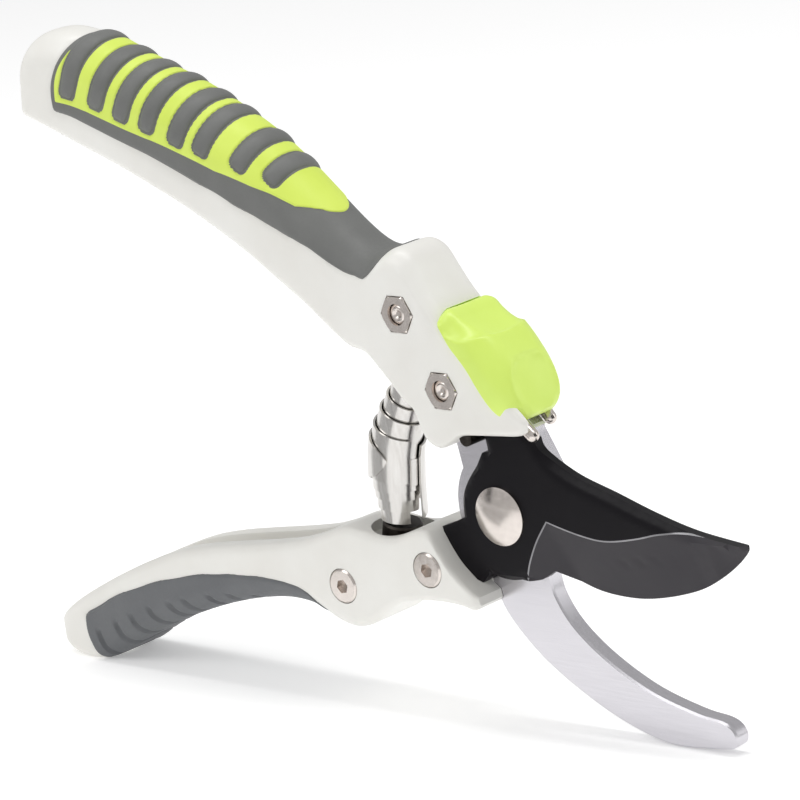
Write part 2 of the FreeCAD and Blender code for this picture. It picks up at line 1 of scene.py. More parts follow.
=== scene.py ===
import bpy
import bmesh
import math
import numpy as np
from mathutils import Matrix, Vector
from mathutils.geometry import delaunay_2d_cdt


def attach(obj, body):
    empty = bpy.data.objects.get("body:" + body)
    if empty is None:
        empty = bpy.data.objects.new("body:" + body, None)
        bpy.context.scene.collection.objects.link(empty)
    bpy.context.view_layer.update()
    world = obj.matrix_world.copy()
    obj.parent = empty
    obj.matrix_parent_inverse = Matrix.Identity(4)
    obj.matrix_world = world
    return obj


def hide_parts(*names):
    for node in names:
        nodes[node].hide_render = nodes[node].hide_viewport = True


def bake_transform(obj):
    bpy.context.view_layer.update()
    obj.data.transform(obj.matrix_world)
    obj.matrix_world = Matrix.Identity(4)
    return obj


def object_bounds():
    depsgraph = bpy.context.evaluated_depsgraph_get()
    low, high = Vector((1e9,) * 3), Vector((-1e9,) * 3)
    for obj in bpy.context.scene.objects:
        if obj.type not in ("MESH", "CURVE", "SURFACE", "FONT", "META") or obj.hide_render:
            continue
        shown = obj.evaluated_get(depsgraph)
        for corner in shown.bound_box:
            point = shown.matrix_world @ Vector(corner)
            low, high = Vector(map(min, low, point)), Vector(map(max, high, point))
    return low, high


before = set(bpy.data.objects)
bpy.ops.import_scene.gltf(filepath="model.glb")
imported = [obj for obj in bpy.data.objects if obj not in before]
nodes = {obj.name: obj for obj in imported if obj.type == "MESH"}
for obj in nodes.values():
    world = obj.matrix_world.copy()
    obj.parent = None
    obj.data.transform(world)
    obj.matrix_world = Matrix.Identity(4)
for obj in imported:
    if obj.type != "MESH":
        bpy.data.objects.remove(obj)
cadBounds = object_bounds()
mm = 0.001
print("frame loaded:", len(nodes), "nodes")


# colours and materials
def linear(hexText):
    steps = [int(hexText[i:i + 2], 16) / 255 for i in (1, 3, 5)]
    return [c / 12.92 if c <= 0.04045 else ((c + 0.055) / 1.055) ** 2.4 for c in steps] + [1.0]


def addNode(tree, kind, inputs=(), **settings):
    node = tree.nodes.new(kind)
    for name, value in settings.items():
        setattr(node, name, value)
    for name, value in dict(inputs).items():
        if isinstance(value, bpy.types.NodeSocket):
            tree.links.new(value, node.inputs[name])
        else:
            node.inputs[name].default_value = value
    return node


def startMaterial(name, **shaderValues):
    material = bpy.data.materials.new(name)
    material.use_nodes = True
    tree = material.node_tree
    tree.nodes.clear()
    shader = addNode(tree, "ShaderNodeBsdfPrincipled",
                     {key.replace("_", " "): value for key, value in shaderValues.items()})
    addNode(tree, "ShaderNodeOutputMaterial", {"Surface": shader.outputs["BSDF"]})
    where = addNode(tree, "ShaderNodeTexCoord").outputs["Object"]
    return material, tree, shader, where


noiseRange = (0.3, 0.7)  # the part of a noise pattern's range that its values fill


# Cloudy colour, and a fine grain in the gloss and the relief.
def mouldedMaterial(name, look):
    material, tree, shader, where = startMaterial(name, **look["shader"])
    cloud = addNode(tree, "ShaderNodeTexNoise",
                    {"Vector": where, "Scale": 1 / (look["cloudMm"] * mm), "Detail": 4.0})
    patch = addNode(tree, "ShaderNodeMapRange",
                    {"Value": cloud.outputs["Fac"], "From Min": noiseRange[0], "From Max": noiseRange[1]})
    shade = addNode(tree, "ShaderNodeMix",
                    {0: patch.outputs[0], 6: linear(look["dark"]), 7: linear(look["light"])},
                    data_type="RGBA")
    fine = addNode(tree, "ShaderNodeTexNoise",
                   {"Vector": where, "Scale": 1 / (look["grainMm"] * mm), "Detail": 3.0})
    rough = addNode(tree, "ShaderNodeMapRange",
                    {"Value": fine.outputs["Fac"], "From Min": noiseRange[0], "From Max": noiseRange[1],
                     "To Min": look["rough"][0], "To Max": look["rough"][1]})
    bump = addNode(tree, "ShaderNodeBump",
                   {"Height": fine.outputs["Fac"], "Distance": look["reliefMm"] * mm})
    tree.links.new(shade.outputs[2], shader.inputs["Base Color"])
    tree.links.new(rough.outputs[0], shader.inputs["Roughness"])
    tree.links.new(bump.outputs[0], shader.inputs["Normal"])
    return material


# Powder paint on die-cast aluminium: warm white, satin, with the soft orange peel of baked paint.
powderPaint = mouldedMaterial("powderPaintedAluminium", {
    "light": "#EFEEE9", "dark": "#E9E7E1", "cloudMm": 14, "rough": (0.36, 0.44), "grainMm": 1.4,
    "reliefMm": 0.012, "shader": {"IOR": 1.5, "Coat_Weight": 0.12, "Coat_Roughness": 0.25}})
# Thermoplastic rubber over the casting: matt, and a fine spark-eroded mould grain breaks up its highlights.
greyRubber = mouldedMaterial("greyMouldedRubber", {
    "light": "#737472", "dark": "#6B6C6A", "cloudMm": 9, "rough": (0.5, 0.62), "grainMm": 0.6,
    "reliefMm": 0.02, "shader": {"IOR": 1.5}})
slateRubber = mouldedMaterial("slateMouldedRubber", {
    "light": "#6B6D6F", "dark": "#626467", "cloudMm": 9, "rough": (0.5, 0.62), "grainMm": 0.6,
    "reliefMm": 0.02, "shader": {"IOR": 1.5}})
# The same rubber in lime, moulded in a second shot: softer to the eye, because light goes a little way in.
limeRubber = mouldedMaterial("limeMouldedRubber", {
    "light": "#DEF268", "dark": "#D6EB5C", "cloudMm": 10, "rough": (0.46, 0.56), "grainMm": 0.7,
    "reliefMm": 0.015, "shader": {"IOR": 1.5}})
# Injection-moulded nylon of the thumb slide: satin skin, clean and slightly glossier than the rubber.
limeNylon = mouldedMaterial("limeMouldedNylon", {
    "light": "#DDF775", "dark": "#D6F068", "cloudMm": 12, "rough": (0.33, 0.4), "grainMm": 0.9,
    "reliefMm": 0.008, "shader": {"IOR": 1.53, "Coat_Weight": 0.1, "Coat_Roughness": 0.3}})


# Bare metal: the lines of how it was ground, rolled or turned show in colour, gloss and relief alike.
def metalMaterial(name, look):
    material, tree, shader, where = startMaterial(name, Metallic=1.0)
    stretch = addNode(tree, "ShaderNodeMapping", {"Vector": where, "Scale": look["stretch"]})
    lines = addNode(tree, "ShaderNodeTexNoise",
                    {"Vector": stretch.outputs["Vector"], "Scale": 1 / (look["lineMm"] * mm),
                     "Detail": 5.0})
    patch = addNode(tree, "ShaderNodeMapRange",
                    {"Value": lines.outputs["Fac"], "From Min": noiseRange[0], "From Max": noiseRange[1]})
    shade = addNode(tree, "ShaderNodeMix",
                    {0: patch.outputs[0], 6: linear(look["dark"]), 7: linear(look["light"])},
                    data_type="RGBA")
    rough = addNode(tree, "ShaderNodeMapRange",
                    {"Value": lines.outputs["Fac"], "From Min": noiseRange[0], "From Max": noiseRange[1],
                     "To Min": look["rough"][0], "To Max": look["rough"][1]})
    bump = addNode(tree, "ShaderNodeBump",
                   {"Height": lines.outputs["Fac"], "Distance": look["reliefMm"] * mm})
    tree.links.new(shade.outputs[2], shader.inputs["Base Color"])
    tree.links.new(rough.outputs[0], shader.inputs["Roughness"])
    tree.links.new(bump.outputs[0], shader.inputs["Normal"])
    return material


# Hook plate: hardened steel ground flat and satin finished, with faint lines along the grinding.
groundSteel = metalMaterial("satinGroundSteel", {
    "light": "#D6D4D9", "dark": "#CFCDD2", "rough": (0.24, 0.27), "lineMm": 0.5,
    "stretch": (0.05, 1.0, 1.0), "reliefMm": 0.0001})
# Bolts, nuts and latch wire: nickel plate over turned steel, nearly a mirror.
nickelPlate = metalMaterial("nickelPlatedSteel", {
    "light": "#E2DAD4", "dark": "#D6CEC8", "rough": (0.2, 0.26), "lineMm": 1.2,
    "stretch": (1.0, 1.0, 1.0), "reliefMm": 0.002})
# Volute spring: cold-rolled strip, bright, with faint lines across its turns.
rolledStrip = metalMaterial("rolledSpringStrip", {
    "light": "#DEDCD9", "dark": "#CDCAC6", "rough": (0.16, 0.26), "lineMm": 0.6,
    "stretch": (1.0, 1.0, 0.03), "reliefMm": 0.0006})
# Spring seats and stop pin: black-oxide steel, dull and oily.
blackOxide = metalMaterial("blackOxideSteel", {
    "light": "#4A4642", "dark": "#332F2C", "rough": (0.35, 0.5), "lineMm": 1.0,
    "stretch": (1.0, 1.0, 1.0), "reliefMm": 0.004})

# Cutting blade: baked fluoropolymer coat over carbon steel, near black and satin on the flats.
blackCoat = mouldedMaterial("coatedCarbonSteel", {
    "light": "#141216", "dark": "#110F13", "cloudMm": 12, "rough": (0.3, 0.38), "grainMm": 0.8,
    "reliefMm": 0.003, "shader": {"IOR": 1.4, "Specular_IOR_Level": 0.2}})
# Where the bevel was ground before coating the coat is thinner, so it looks greyer and duller.
bevelCoat = mouldedMaterial("coatedGroundBevel", {
    "light": "#424043", "dark": "#3C3A3E", "cloudMm": 20, "rough": (0.4, 0.46), "grainMm": 0.8,
    "reliefMm": 0.002, "shader": {"IOR": 1.4, "Specular_IOR_Level": 0.2}})
# Painted highlight: a fine bright line painted where the flat meets the bevel and along the cutting edge,
# standing in for light catching those edges.
paintedEdgeHighlight = mouldedMaterial("paintedHighlightLine", {
    "light": "#9A999C", "dark": "#828184", "cloudMm": 5, "rough": (0.3, 0.4), "grainMm": 0.8,
    "reliefMm": 0.001, "shader": {"IOR": 1.5, "Metallic": 0.6}})

cadFinishes = {"lock_latch": nickelPlate, "pivot_bolt": nickelPlate, "pivot_washer": nickelPlate,
               "pivot_nut": nickelPlate, "stop_pin": blackOxide, "upper_spring_seat": blackOxide}
for name, material in cadFinishes.items():
    nodes[name].data.materials.clear()
    nodes[name].data.materials.append(material)
print("materials ready")


# building meshes
# A smooth curve through the rows, with so many steps between each row and the next.
def smoothRows(rows, steps):
    rows = np.array(rows, float)
    ahead = np.vstack([rows[1:], rows[-1:]])
    result = []
    for i in range(len(rows) - 1):
        p0, p1, p2, p3 = rows[max(i - 1, 0)], rows[i], rows[i + 1], ahead[i + 1]
        for k in range(steps):
            t = k / steps
            result.append(0.5 * (2 * p1 + (p2 - p0) * t + (2 * p0 - 5 * p1 + 4 * p2 - p3) * t ** 2
                                 + (3 * p1 - p0 - 3 * p2 + p3) * t ** 3))
    return np.array(result + [rows[-1]])


def makeMesh(name, points, faces, material, sharpAngle=40):
    mesh = bpy.data.meshes.new(name)
    mesh.from_pydata([[c * mm for c in p] for p in points], [], faces)
    work = bmesh.new()
    work.from_mesh(mesh)
    bmesh.ops.remove_doubles(work, verts=work.verts, dist=1e-6)
    bmesh.ops.dissolve_degenerate(work, edges=work.edges, dist=1e-7)
    bmesh.ops.recalc_face_normals(work, faces=work.faces)
    work.to_mesh(mesh)
    work.free()
    mesh.shade_smooth()
    mesh.set_sharp_from_angle(angle=math.radians(sharpAngle))
    mesh.materials.append(material)
    piece = bpy.data.objects.new(name, mesh)
    bpy.context.scene.collection.objects.link(piece)
    return piece


# Cutters: straight solids from y near to y far, which carve() takes away from a piece.
def prism(outline, near, far):
    count = len(outline)
    points = [(x, near, z) for x, z in outline] + [(x, far, z) for x, z in outline]
    faces = [list(range(count)), list(range(2 * count - 1, count - 1, -1))]
    faces += [[i, (i + 1) % count, (i + 1) % count + count, i + count] for i in range(count)]
    return makeMesh("cutter", points, faces, powderPaint)


def disc(centre, radius, near, far, count=72):
    turn = 2 * math.pi / count
    return prism([(centre[0] + radius * math.cos(i * turn), centre[1] + radius * math.sin(i * turn))
                  for i in range(count)], near, far)


def hexagon(centre, flats, near, far, turn=0.0):
    reach = flats / math.sqrt(3)
    corners = [math.radians(60 * k + turn) for k in range(6)]
    return prism([(centre[0] + reach * math.cos(corner), centre[1] + reach * math.sin(corner))
                  for corner in corners], near, far)


def carve(piece, cutters, sharpAngle=40):
    for cutter in cutters:
        cut = piece.modifiers.new("cut", "BOOLEAN")
        cut.operation = "DIFFERENCE"
        cut.solver = "EXACT"
        cut.object = cutter
        bpy.context.view_layer.update()
        carved = piece.evaluated_get(bpy.context.evaluated_depsgraph_get())
        mesh = bpy.data.meshes.new_from_object(carved)
        piece.modifiers.clear()
        piece.data = mesh
        bpy.data.objects.remove(cutter)
    piece.data.shade_smooth()
    piece.data.set_sharp_from_angle(angle=math.radians(sharpAngle))


# Faces of a closed skin over rings of points that follow each other: two caps and the quads between.
def tubeFaces(ringCount, count):
    last = (ringCount - 1) * count
    faces = [list(range(count)), list(range(last, last + count))]
    for i in range(0, last, count):
        faces += [[i + k, i + (k + 1) % count, i + count + (k + 1) % count, i + count + k]
                  for k in range(count)]
    return faces


# A round solid about an axis: rings are (distance along the axis, radius), in mm.
def turned(name, base, axis, rings, material, count=64, sharpAngle=40):
    axis = Vector(axis).normalized()
    side = axis.orthogonal().normalized()
    other = axis.cross(side)
    points = []
    for along, radius in rings:
        for k in range(count):
            turn = 2 * math.pi * k / count
            out = side * math.cos(turn) + other * math.sin(turn)
            points.append(tuple(Vector(base) + axis * along + out * radius))
    return makeMesh(name, points, tubeFaces(len(rings), count), material, sharpAngle)


def distanceTo(path, x, z):
    a, b = path[:-1], path[1:]
    run = b - a
    away = np.array([x, z]) - a
    share = np.clip((away * run).sum(1) / np.maximum((run * run).sum(1), 1e-12), 0, 1)
    return float(np.min(np.linalg.norm(away - run * share[:, None], axis=1)))


def inside(path, x, z):
    hit = False
    for (x0, z0), (x1, z1) in zip(path, np.roll(path, -1, axis=0)):
        if (z0 > z) != (z1 > z) and x < x0 + (z - z0) * (x1 - x0) / (z1 - z0):
            hit = not hit
    return hit


# A flat plate with a worked near face: depth(x, z) says how far the face falls back there, and
# finish(x, z) which material it has.  Creases are lines that the mesh follows.
def platePiece(name, outline, holes, creases, near, far, depth, finish, materials, spacing):
    loops = [np.array(outline)] + [np.array(hole) for hole in holes]
    verts, edges = [], []
    for k, path in enumerate(loops + [np.array(crease) for crease in creases]):
        first = len(verts)
        verts += [Vector(p) for p in path]
        edges += [(first + i, first + i + 1) for i in range(len(path) - 1)]
        if k < len(loops):
            edges.append((first + len(path) - 1, first))
    low, high = loops[0].min(0), loops[0].max(0)
    lines = [np.vstack([path, path[:1]]) for path in loops] + [np.array(crease) for crease in creases]
    for x in np.arange(low[0], high[0], spacing):
        for z in np.arange(low[1], high[1], spacing):
            if inside(loops[0], x, z) and min(distanceTo(path, x, z) for path in lines) > 0.45 * spacing:
                verts.append(Vector((x, z)))
    net = delaunay_2d_cdt(verts, edges, [], 0, 1e-5)
    flat, triangles = net[0], net[2]
    kept = []
    for a, b, c in triangles:
        x, z = (flat[a] + flat[b] + flat[c]) / 3
        if inside(loops[0], x, z) and not any(inside(hole, x, z) for hole in loops[1:]):
            kept.append((a, b, c))
    points = [(x, near + depth(x, z), z) for x, z in flat] + [(x, far, z) for x, z in flat]
    count = len(flat)
    faces = [list(face) for face in kept] + [[c + count, b + count, a + count] for a, b, c in kept]
    sides = {}
    for face in kept:
        for a, b in zip(face, face[1:] + face[:1]):
            sides[(a, b)] = True
    faces += [[b, a, a + count, b + count] for a, b in sides if (b, a) not in sides]
    mesh = bpy.data.meshes.new(name)
    mesh.from_pydata([[c * mm for c in p] for p in points], [], faces)
    for material in materials:
        mesh.materials.append(material)
    for face in mesh.polygons[:len(kept)]:
        face.material_index = finish(face.center.x / mm, face.center.z / mm)
    work = bmesh.new()
    work.from_mesh(mesh)
    bmesh.ops.delete(work, geom=[v for v in work.verts if not v.link_faces], context="VERTS")
    bmesh.ops.recalc_face_normals(work, faces=work.faces)
    work.to_mesh(mesh)
    work.free()
    mesh.shade_smooth()
    mesh.set_sharp_from_angle(angle=math.radians(30))
    piece = bpy.data.objects.new(name, mesh)
    bpy.context.scene.collection.objects.link(piece)
    return piece


class Handle:
    # A handle's skin.  Each row is a slice: its open side (x, z), its crown (x, z), the corner radii of
    # both, half its width and how deep the hollow in its open side is.  A place on the skin is how far
    # along the handle and how far round from the crown's middle, in mm, with the far side positive.
    ringSteps = (14, 6, 5)  # how many faces the crown's corner, the flank and the open corner get

    def __init__(self, rows, steps, midY, hollowHalf=2.8):
        self.rows = smoothRows(rows, steps)
        self.rows[:, 7] = np.clip(self.rows[:, 7], 0, None)
        self.midY = midY
        self.hollowHalf = hollowHalf
        middle = (self.rows[:, 0:2] + self.rows[:, 2:4]) / 2
        self.along = np.concatenate([[0], np.cumsum(np.linalg.norm(np.diff(middle, axis=0), axis=1))])

    def slice(self, s):
        row = [np.interp(s, self.along, self.rows[:, k]) for k in range(8)]
        openSide, crown = np.array(row[0:2]), np.array(row[2:4])
        height = np.linalg.norm(crown - openSide)
        up = (crown - openSide) / height
        half = row[6]
        crownR = min(row[5], half, height * 0.7)
        openR = min(row[4], half, height - crownR - 0.01)
        return crown, up, height, half, crownR, openR, row[7]

    def place(self, s, arc, lift=0.0):
        crown, up, height, half, crownR, openR, depth = self.slice(s)
        side, run = (1 if arc >= 0 else -1), abs(arc)
        flat, quarter, flank = half - crownR, crownR * math.pi / 2, height - crownR - openR
        if run <= flat:
            y, drop, out, rise = run, 0.0, 0.0, 1.0
        elif run <= flat + quarter:
            t = (run - flat) / crownR
            out, rise = math.sin(t), math.cos(t)
            y, drop = flat + crownR * out, crownR * (1 - rise)
        elif run <= flat + quarter + flank:
            y, drop, out, rise = half, crownR + run - flat - quarter, 1.0, 0.0
        else:
            t = min((run - flat - quarter - flank) / openR, math.pi / 2)
            y, drop = half - openR * (1 - math.cos(t)), height - openR + openR * math.sin(t)
            out, rise = math.cos(t), -math.sin(t)
        y, drop = y + out * lift, drop - rise * lift
        spot = crown - up * drop
        return spot[0], self.midY + side * y, spot[1]

    # How far along and how far round the skin is at (x, z); the near side has the same arc, negative.
    def find(self, x, z):
        best = None
        for s in self.along:
            crown, up, height, half, crownR, openR, depth = self.slice(s)
            away = np.array([x, z]) - crown
            off = abs(away[0] * up[1] - away[1] * up[0])
            if best is None or off < best[0]:
                best = (off, s, -away @ up, crownR, half)
        off, s, drop, crownR, half = best
        drop = max(drop, 0)
        if drop < crownR:
            return s, half - crownR + crownR * math.acos(1 - drop / crownR)
        return s, half - crownR + crownR * math.pi / 2 + drop - crownR

    def ring(self, s, recess):
        crown, up, height, half, crownR, openR, depth = self.slice(s)
        flat, quarter, flank = half - crownR, crownR * math.pi / 2, height - crownR - openR
        corner = openR * math.pi / 2
        crownSteps, flankSteps, openSteps = self.ringSteps
        runs = [flat * t for t in (0, 0.5)]
        runs += [flat + quarter * t / crownSteps for t in range(crownSteps + 1)]
        runs += [flat + quarter + flank * t / flankSteps for t in range(1, flankSteps + 1)]
        runs += [flat + quarter + flank + corner * t / openSteps for t in range(1, openSteps + 1)]
        farSide = [self.place(s, run, -recess(s, run)) for run in runs]
        lip = min(0.5, depth / 2)
        hollow = min(self.hollowHalf, half - openR)
        for y, drop in ((hollow + lip, height), (hollow + lip * 0.3, height - lip * 0.3),
                        (hollow, height - lip), (hollow, height - depth * 0.7),
                        (hollow * 0.85, height - depth), (0, height - depth)):
            spot = crown - up * drop
            farSide.append((spot[0], self.midY + y, spot[1]))
        nearSide = [(x, 2 * self.midY - y, z) for x, y, z in reversed(farSide[1:-1])]
        return farSide + nearSide

    def casting(self, name, material, recess=lambda s, arc: 0.0):
        rings = [self.ring(s, recess) for s in self.along]
        points = [p for ring in rings for p in ring]
        faces = tubeFaces(len(rings), len(rings[0]))
        return makeMesh(name, points, faces[2:] + faces[:2], material)

    # A closed pad on the skin.  spot(u, v) gives (along, round, edge), and lift(along, round, edge) how
    # proud it stands, where edge is how far inside its border a point is.
    def pad(self, name, spot, lift, thick, counts, material):
        uCount, vCount = counts
        top, bottom = [], []
        for i in range(uCount + 1):
            for k in range(vCount + 1):
                s, arc, edge = spot(i / uCount, 2 * k / vCount - 1)
                top.append(self.place(s, arc, lift(s, arc, edge)))
                bottom.append(self.place(s, arc, -thick))
        width = vCount + 1
        total = len(top)
        faces = []
        for i in range(uCount):
            for k in range(vCount):
                a = i * width + k
                faces.append([a, a + 1, a + width + 1, a + width])
                faces.append([a + total, a + width + total, a + width + 1 + total, a + 1 + total])
        rim = list(range(width)) + [i * width + vCount for i in range(1, uCount + 1)]
        rim += [uCount * width + k for k in range(vCount - 1, -1, -1)]
        rim += [i * width for i in range(uCount - 1, 0, -1)]
        for k, a in enumerate(rim):
            b = rim[(k + 1) % len(rim)]
            faces.append([a, b, b + total, a + total])
        return makeMesh(name, top + bottom, faces, material)


def smoothStep(value, low, high):
    t = min(max((value - low) / (high - low), 0.0), 1.0)
    return t * t * (3 - 2 * t)


# How high a pad's top is: a rounded lip that climbs from start at its border to proud.
def lipLevel(edge, start, proud, lip):
    return start + (proud - start) * math.sin(min(max(edge, 0) / lip, 1) * math.pi / 2)


upperShape = {
    "midY": 0.2,
    "rows": [  # open side x, z; crown x, z; open radius, crown radius; half width; hollow
        (-115.9, 75.2, -116.0, 80.6, 1.0, 2.0, 4.4, 0), (-115.6, 74.2, -114.4, 86.4, 1.6, 4.6, 6.4, 0),
        (-113.8, 73.8, -110.8, 90.4, 2.0, 6.4, 7.5, 0), (-110.0, 72.6, -103.6, 91.8, 2.2, 7.4, 7.8, 0),
        (-104.0, 70.4, -95.0, 90.0, 2.2, 7.4, 7.8, 2), (-97.0, 67.8, -87.2, 87.0, 2.2, 7.4, 7.8, 4),
        (-89.0, 64.9, -79.2, 83.9, 2.2, 7.4, 7.8, 5), (-81.0, 61.6, -71.0, 80.9, 2.2, 7.4, 7.8, 5),
        (-72.2, 57.8, -61.8, 76.6, 2.2, 7.4, 7.8, 5), (-63.7, 53.5, -53.4, 72.0, 2.2, 7.4, 7.8, 5),
        (-55.8, 49.1, -45.8, 66.5, 2.2, 7.4, 7.8, 5), (-48.5, 44.3, -38.8, 60.6, 2.2, 7.4, 7.8, 5),
        (-41.4, 39.6, -32.4, 55.1, 2.2, 7.2, 7.8, 5), (-35.8, 35.4, -27.4, 51.6, 2.0, 6.6, 7.8, 0),
        (-31.0, 32.2, -23.4, 50.4, 1.8, 5.6, 7.8, 0), (-26.8, 31.2, -20.0, 51.4, 1.6, 4.8, 7.8, 0),
        (-23.8, 28.6, -16.8, 52.2, 1.5, 4.4, 7.8, 0), (-21.0, 25.7, -14.2, 51.0, 1.5, 4.2, 7.8, 0),
        (-18.2, 22.5, -12.2, 48.0, 1.5, 4.0, 7.8, 0), (-15.4, 20.2, -9.8, 44.2, 1.5, 3.5, 7.8, 0),
        (-14.2, 17.0, -7.4, 41.0, 1.5, 3.0, 7.8, 0), (-12.8, 14.6, -4.6, 37.5, 1.5, 2.5, 7.8, 0),
        (-10.0, 13.5, -1.4, 34.4, 1.5, 2.2, 7.8, 0), (-7.2, 14.7, 1.6, 31.5, 1.5, 2.0, 7.8, 0),
        (-4.4, 16.4, 4.4, 28.8, 1.5, 2.0, 7.8, 0), (-0.5, 16.9, 6.8, 26.4, 1.5, 2.0, 7.8, 0),
        (5.0, 17.3, 9.2, 24.1, 1.5, 1.8, 7.8, 0), (10.0, 17.7, 11.4, 22.0, 1.4, 1.4, 7.6, 0),
        (12.2, 18.6, 12.6, 20.8, 0.8, 0.8, 6.8, 0)]}
lowerShape = {
    "midY": 0.2,
    "rows": [
        (-126.3, -35.8, -126.6, -38.6, 0.7, 0.7, 4.2, 0), (-125.3, -34.4, -125.2, -41.2, 1.4, 1.8, 6.2, 0),
        (-122.0, -32.1, -121.4, -42.7, 1.6, 2.2, 7.3, 0), (-117.5, -29.4, -115.2, -43.0, 1.7, 2.6, 7.8, 0),
        (-112.0, -26.5, -108.0, -40.6, 1.7, 3.4, 7.8, 0), (-105.0, -23.1, -100.8, -36.5, 1.7, 4.2, 7.8, 0),
        (-96.5, -19.4, -92.3, -32.4, 1.7, 4.6, 7.8, 0.8), (-88.0, -16.3, -83.4, -28.9, 1.7, 4.6, 7.8, 3.0),
        (-80.0, -14.4, -75.2, -26.2, 1.7, 4.6, 7.8, 5.0), (-71.0, -12.9, -66.4, -24.0, 1.7, 4.6, 7.8, 6.0),
        (-61.0, -11.4, -57.6, -22.7, 1.7, 4.4, 7.8, 6.0), (-53.0, -10.0, -50.5, -22.9, 1.7, 4.0, 7.8, 6.0),
        (-48.6, -8.8, -46.4, -24.1, 1.7, 3.4, 7.8, 6.0), (-45.4, -7.7, -43.6, -25.3, 1.7, 2.8, 7.8, 0),
        (-41.5, -6.2, -40.0, -26.2, 1.6, 2.4, 7.8, 0), (-37.6, -5.2, -36.8, -26.0, 1.5, 2.2, 7.8, 0),
        (-33.6, -5.6, -33.4, -24.8, 1.5, 2.0, 7.8, 0), (-29.0, -6.2, -29.6, -22.2, 1.5, 1.8, 7.8, 0),
        (-25.0, -6.0, -25.4, -19.7, 1.5, 1.6, 7.8, 0), (-21.5, -4.7, -21.6, -18.7, 1.5, 1.5, 7.8, 0),
        (-18.2, -3.6, -17.0, -18.1, 1.5, 1.5, 7.8, 0), (-15.7, -4.2, -13.4, -18.0, 1.5, 1.5, 7.8, 0),
        (-13.5, -7.6, -10.6, -18.1, 1.5, 1.5, 7.8, 0), (-11.4, -10.5, -8.0, -18.4, 1.5, 1.5, 7.8, 0),
        (-8.6, -13.1, -6.4, -18.7, 1.3, 1.3, 7.8, 0), (-6.2, -15.0, -5.2, -18.4, 1.0, 1.0, 7.6, 0),
        (-4.8, -16.0, -4.5, -17.6, 0.6, 0.6, 7.0, 0)]}

upperSkin = Handle(upperShape["rows"], 6, upperShape["midY"])
lowerSkin = Handle(lowerShape["rows"], 6, lowerShape["midY"])

# Slide frame: the thumb slide runs down the head's front face.
slideAngle = math.radians(-44.2)
slideDir = np.array([math.cos(slideAngle), math.sin(slideAngle)])
slideOut = np.array([-slideDir[1], slideDir[0]])
slideStart = np.array([-8.2, 41.0])


def slidePoint(along, out):
    return tuple(slideStart + slideDir * along + slideOut * out)


def slideBox(a0, a1, o0, o1, near, far):
    corners = [slidePoint(a0, o0), slidePoint(a1, o0), slidePoint(a1, o1), slidePoint(a0, o1)]
    return prism(corners, near, far)


# A pad's outline: a long side border, and ends that run round the handle with rounded corners.
class PadOutline:
    roundFrom = 0.55  # share of the way round at which an end starts to round its corner
    frontShare = 0.6  # size of the front corner against the back one's
    crowding = 0.055  # draws the mesh's rows towards both ends

    def __init__(self, skin, look):
        self.look = look
        spots = sorted(skin.find(x, z) for x, z in look["border"])
        self.sides = [s for s, arc in spots], [arc for s, arc in spots]
        self.back = skin.find(*look["backMiddle"])[0]
        self.front = skin.find(*look["frontMiddle"])[0]

    def ends(self, near):
        turn = 1 - math.sqrt(max(1 - smoothStep(near, self.roundFrom, 1.0) ** 2, 0))
        first, last = self.sides[0][0], self.sides[0][-1]
        start = first + (self.back - first) * (1 - near) + self.look["corner"] * turn
        end = last + (self.front - last) * math.cos(near * math.pi / 2)
        end -= self.look["corner"] * turn * self.frontShare
        return start, end

    def edge(self, s, arc):
        limit = np.interp(s, *self.sides)
        near = abs(arc) / limit
        start, end = self.ends(min(near, 1))
        return min(limit - abs(arc), s - start, end - s)

    def spot(self, u, v):
        start, end = self.ends(abs(v))
        eased = u - self.crowding * math.sin(2 * math.pi * u)
        s = start + (end - start) * eased
        arc = v * np.interp(s, *self.sides)
        return s, arc, max(self.edge(s, arc), 0)


greyPad = {"start": -0.3, "proud": 0.28, "thick": 0.9, "lip": 0.7, "mesh": (150, 56),
           "border": [(-107.6, 77.4), (-104.2, 75.7), (-89.6, 71.2), (-75.2, 66.4), (-65.9, 62.6),
                      (-56.8, 58.7), (-47.6, 55.3), (-37.8, 51.3), (-31.3, 47.8), (-26.8, 46.6),
                      (-23.0, 46.2)],
           "backMiddle": (-98.0, 91.0), "frontMiddle": (-18.6, 51.4), "corner": 3.2}
slatePad = {"start": -0.3, "proud": 0.3, "thick": 0.9, "lip": 0.7, "mesh": (300, 56),
            "border": [(-118.3, -33.9), (-115.2, -31.9), (-109.4, -28.8), (-102.5, -25.9), (-93.2, -22.7),
                       (-79.9, -19.7), (-68.8, -18.4), (-58.8, -18.1), (-52.5, -19.0), (-48.4, -20.8)],
            "backMiddle": (-112.0, -42.0), "frontMiddle": (-43.6, -25.6), "corner": 2.5}
greyOutline = PadOutline(upperSkin, greyPad)
slateOutline = PadOutline(lowerSkin, slatePad)

plates = {"bladeNear": -3.1, "hookFar": 3.3, "toothSwing": 22.5, "hubSwing": 15.5, "caseNear": -7.6,
          "caseFar": 8.0}
padSeat = {"deep": 1.1, "wall": (0.5, 1.5)}  # how far the castings are sunk under the pads, and where


def seatUnder(outline):
    return lambda s, arc: padSeat["deep"] * smoothStep(outline.edge(s, arc), *padSeat["wall"])


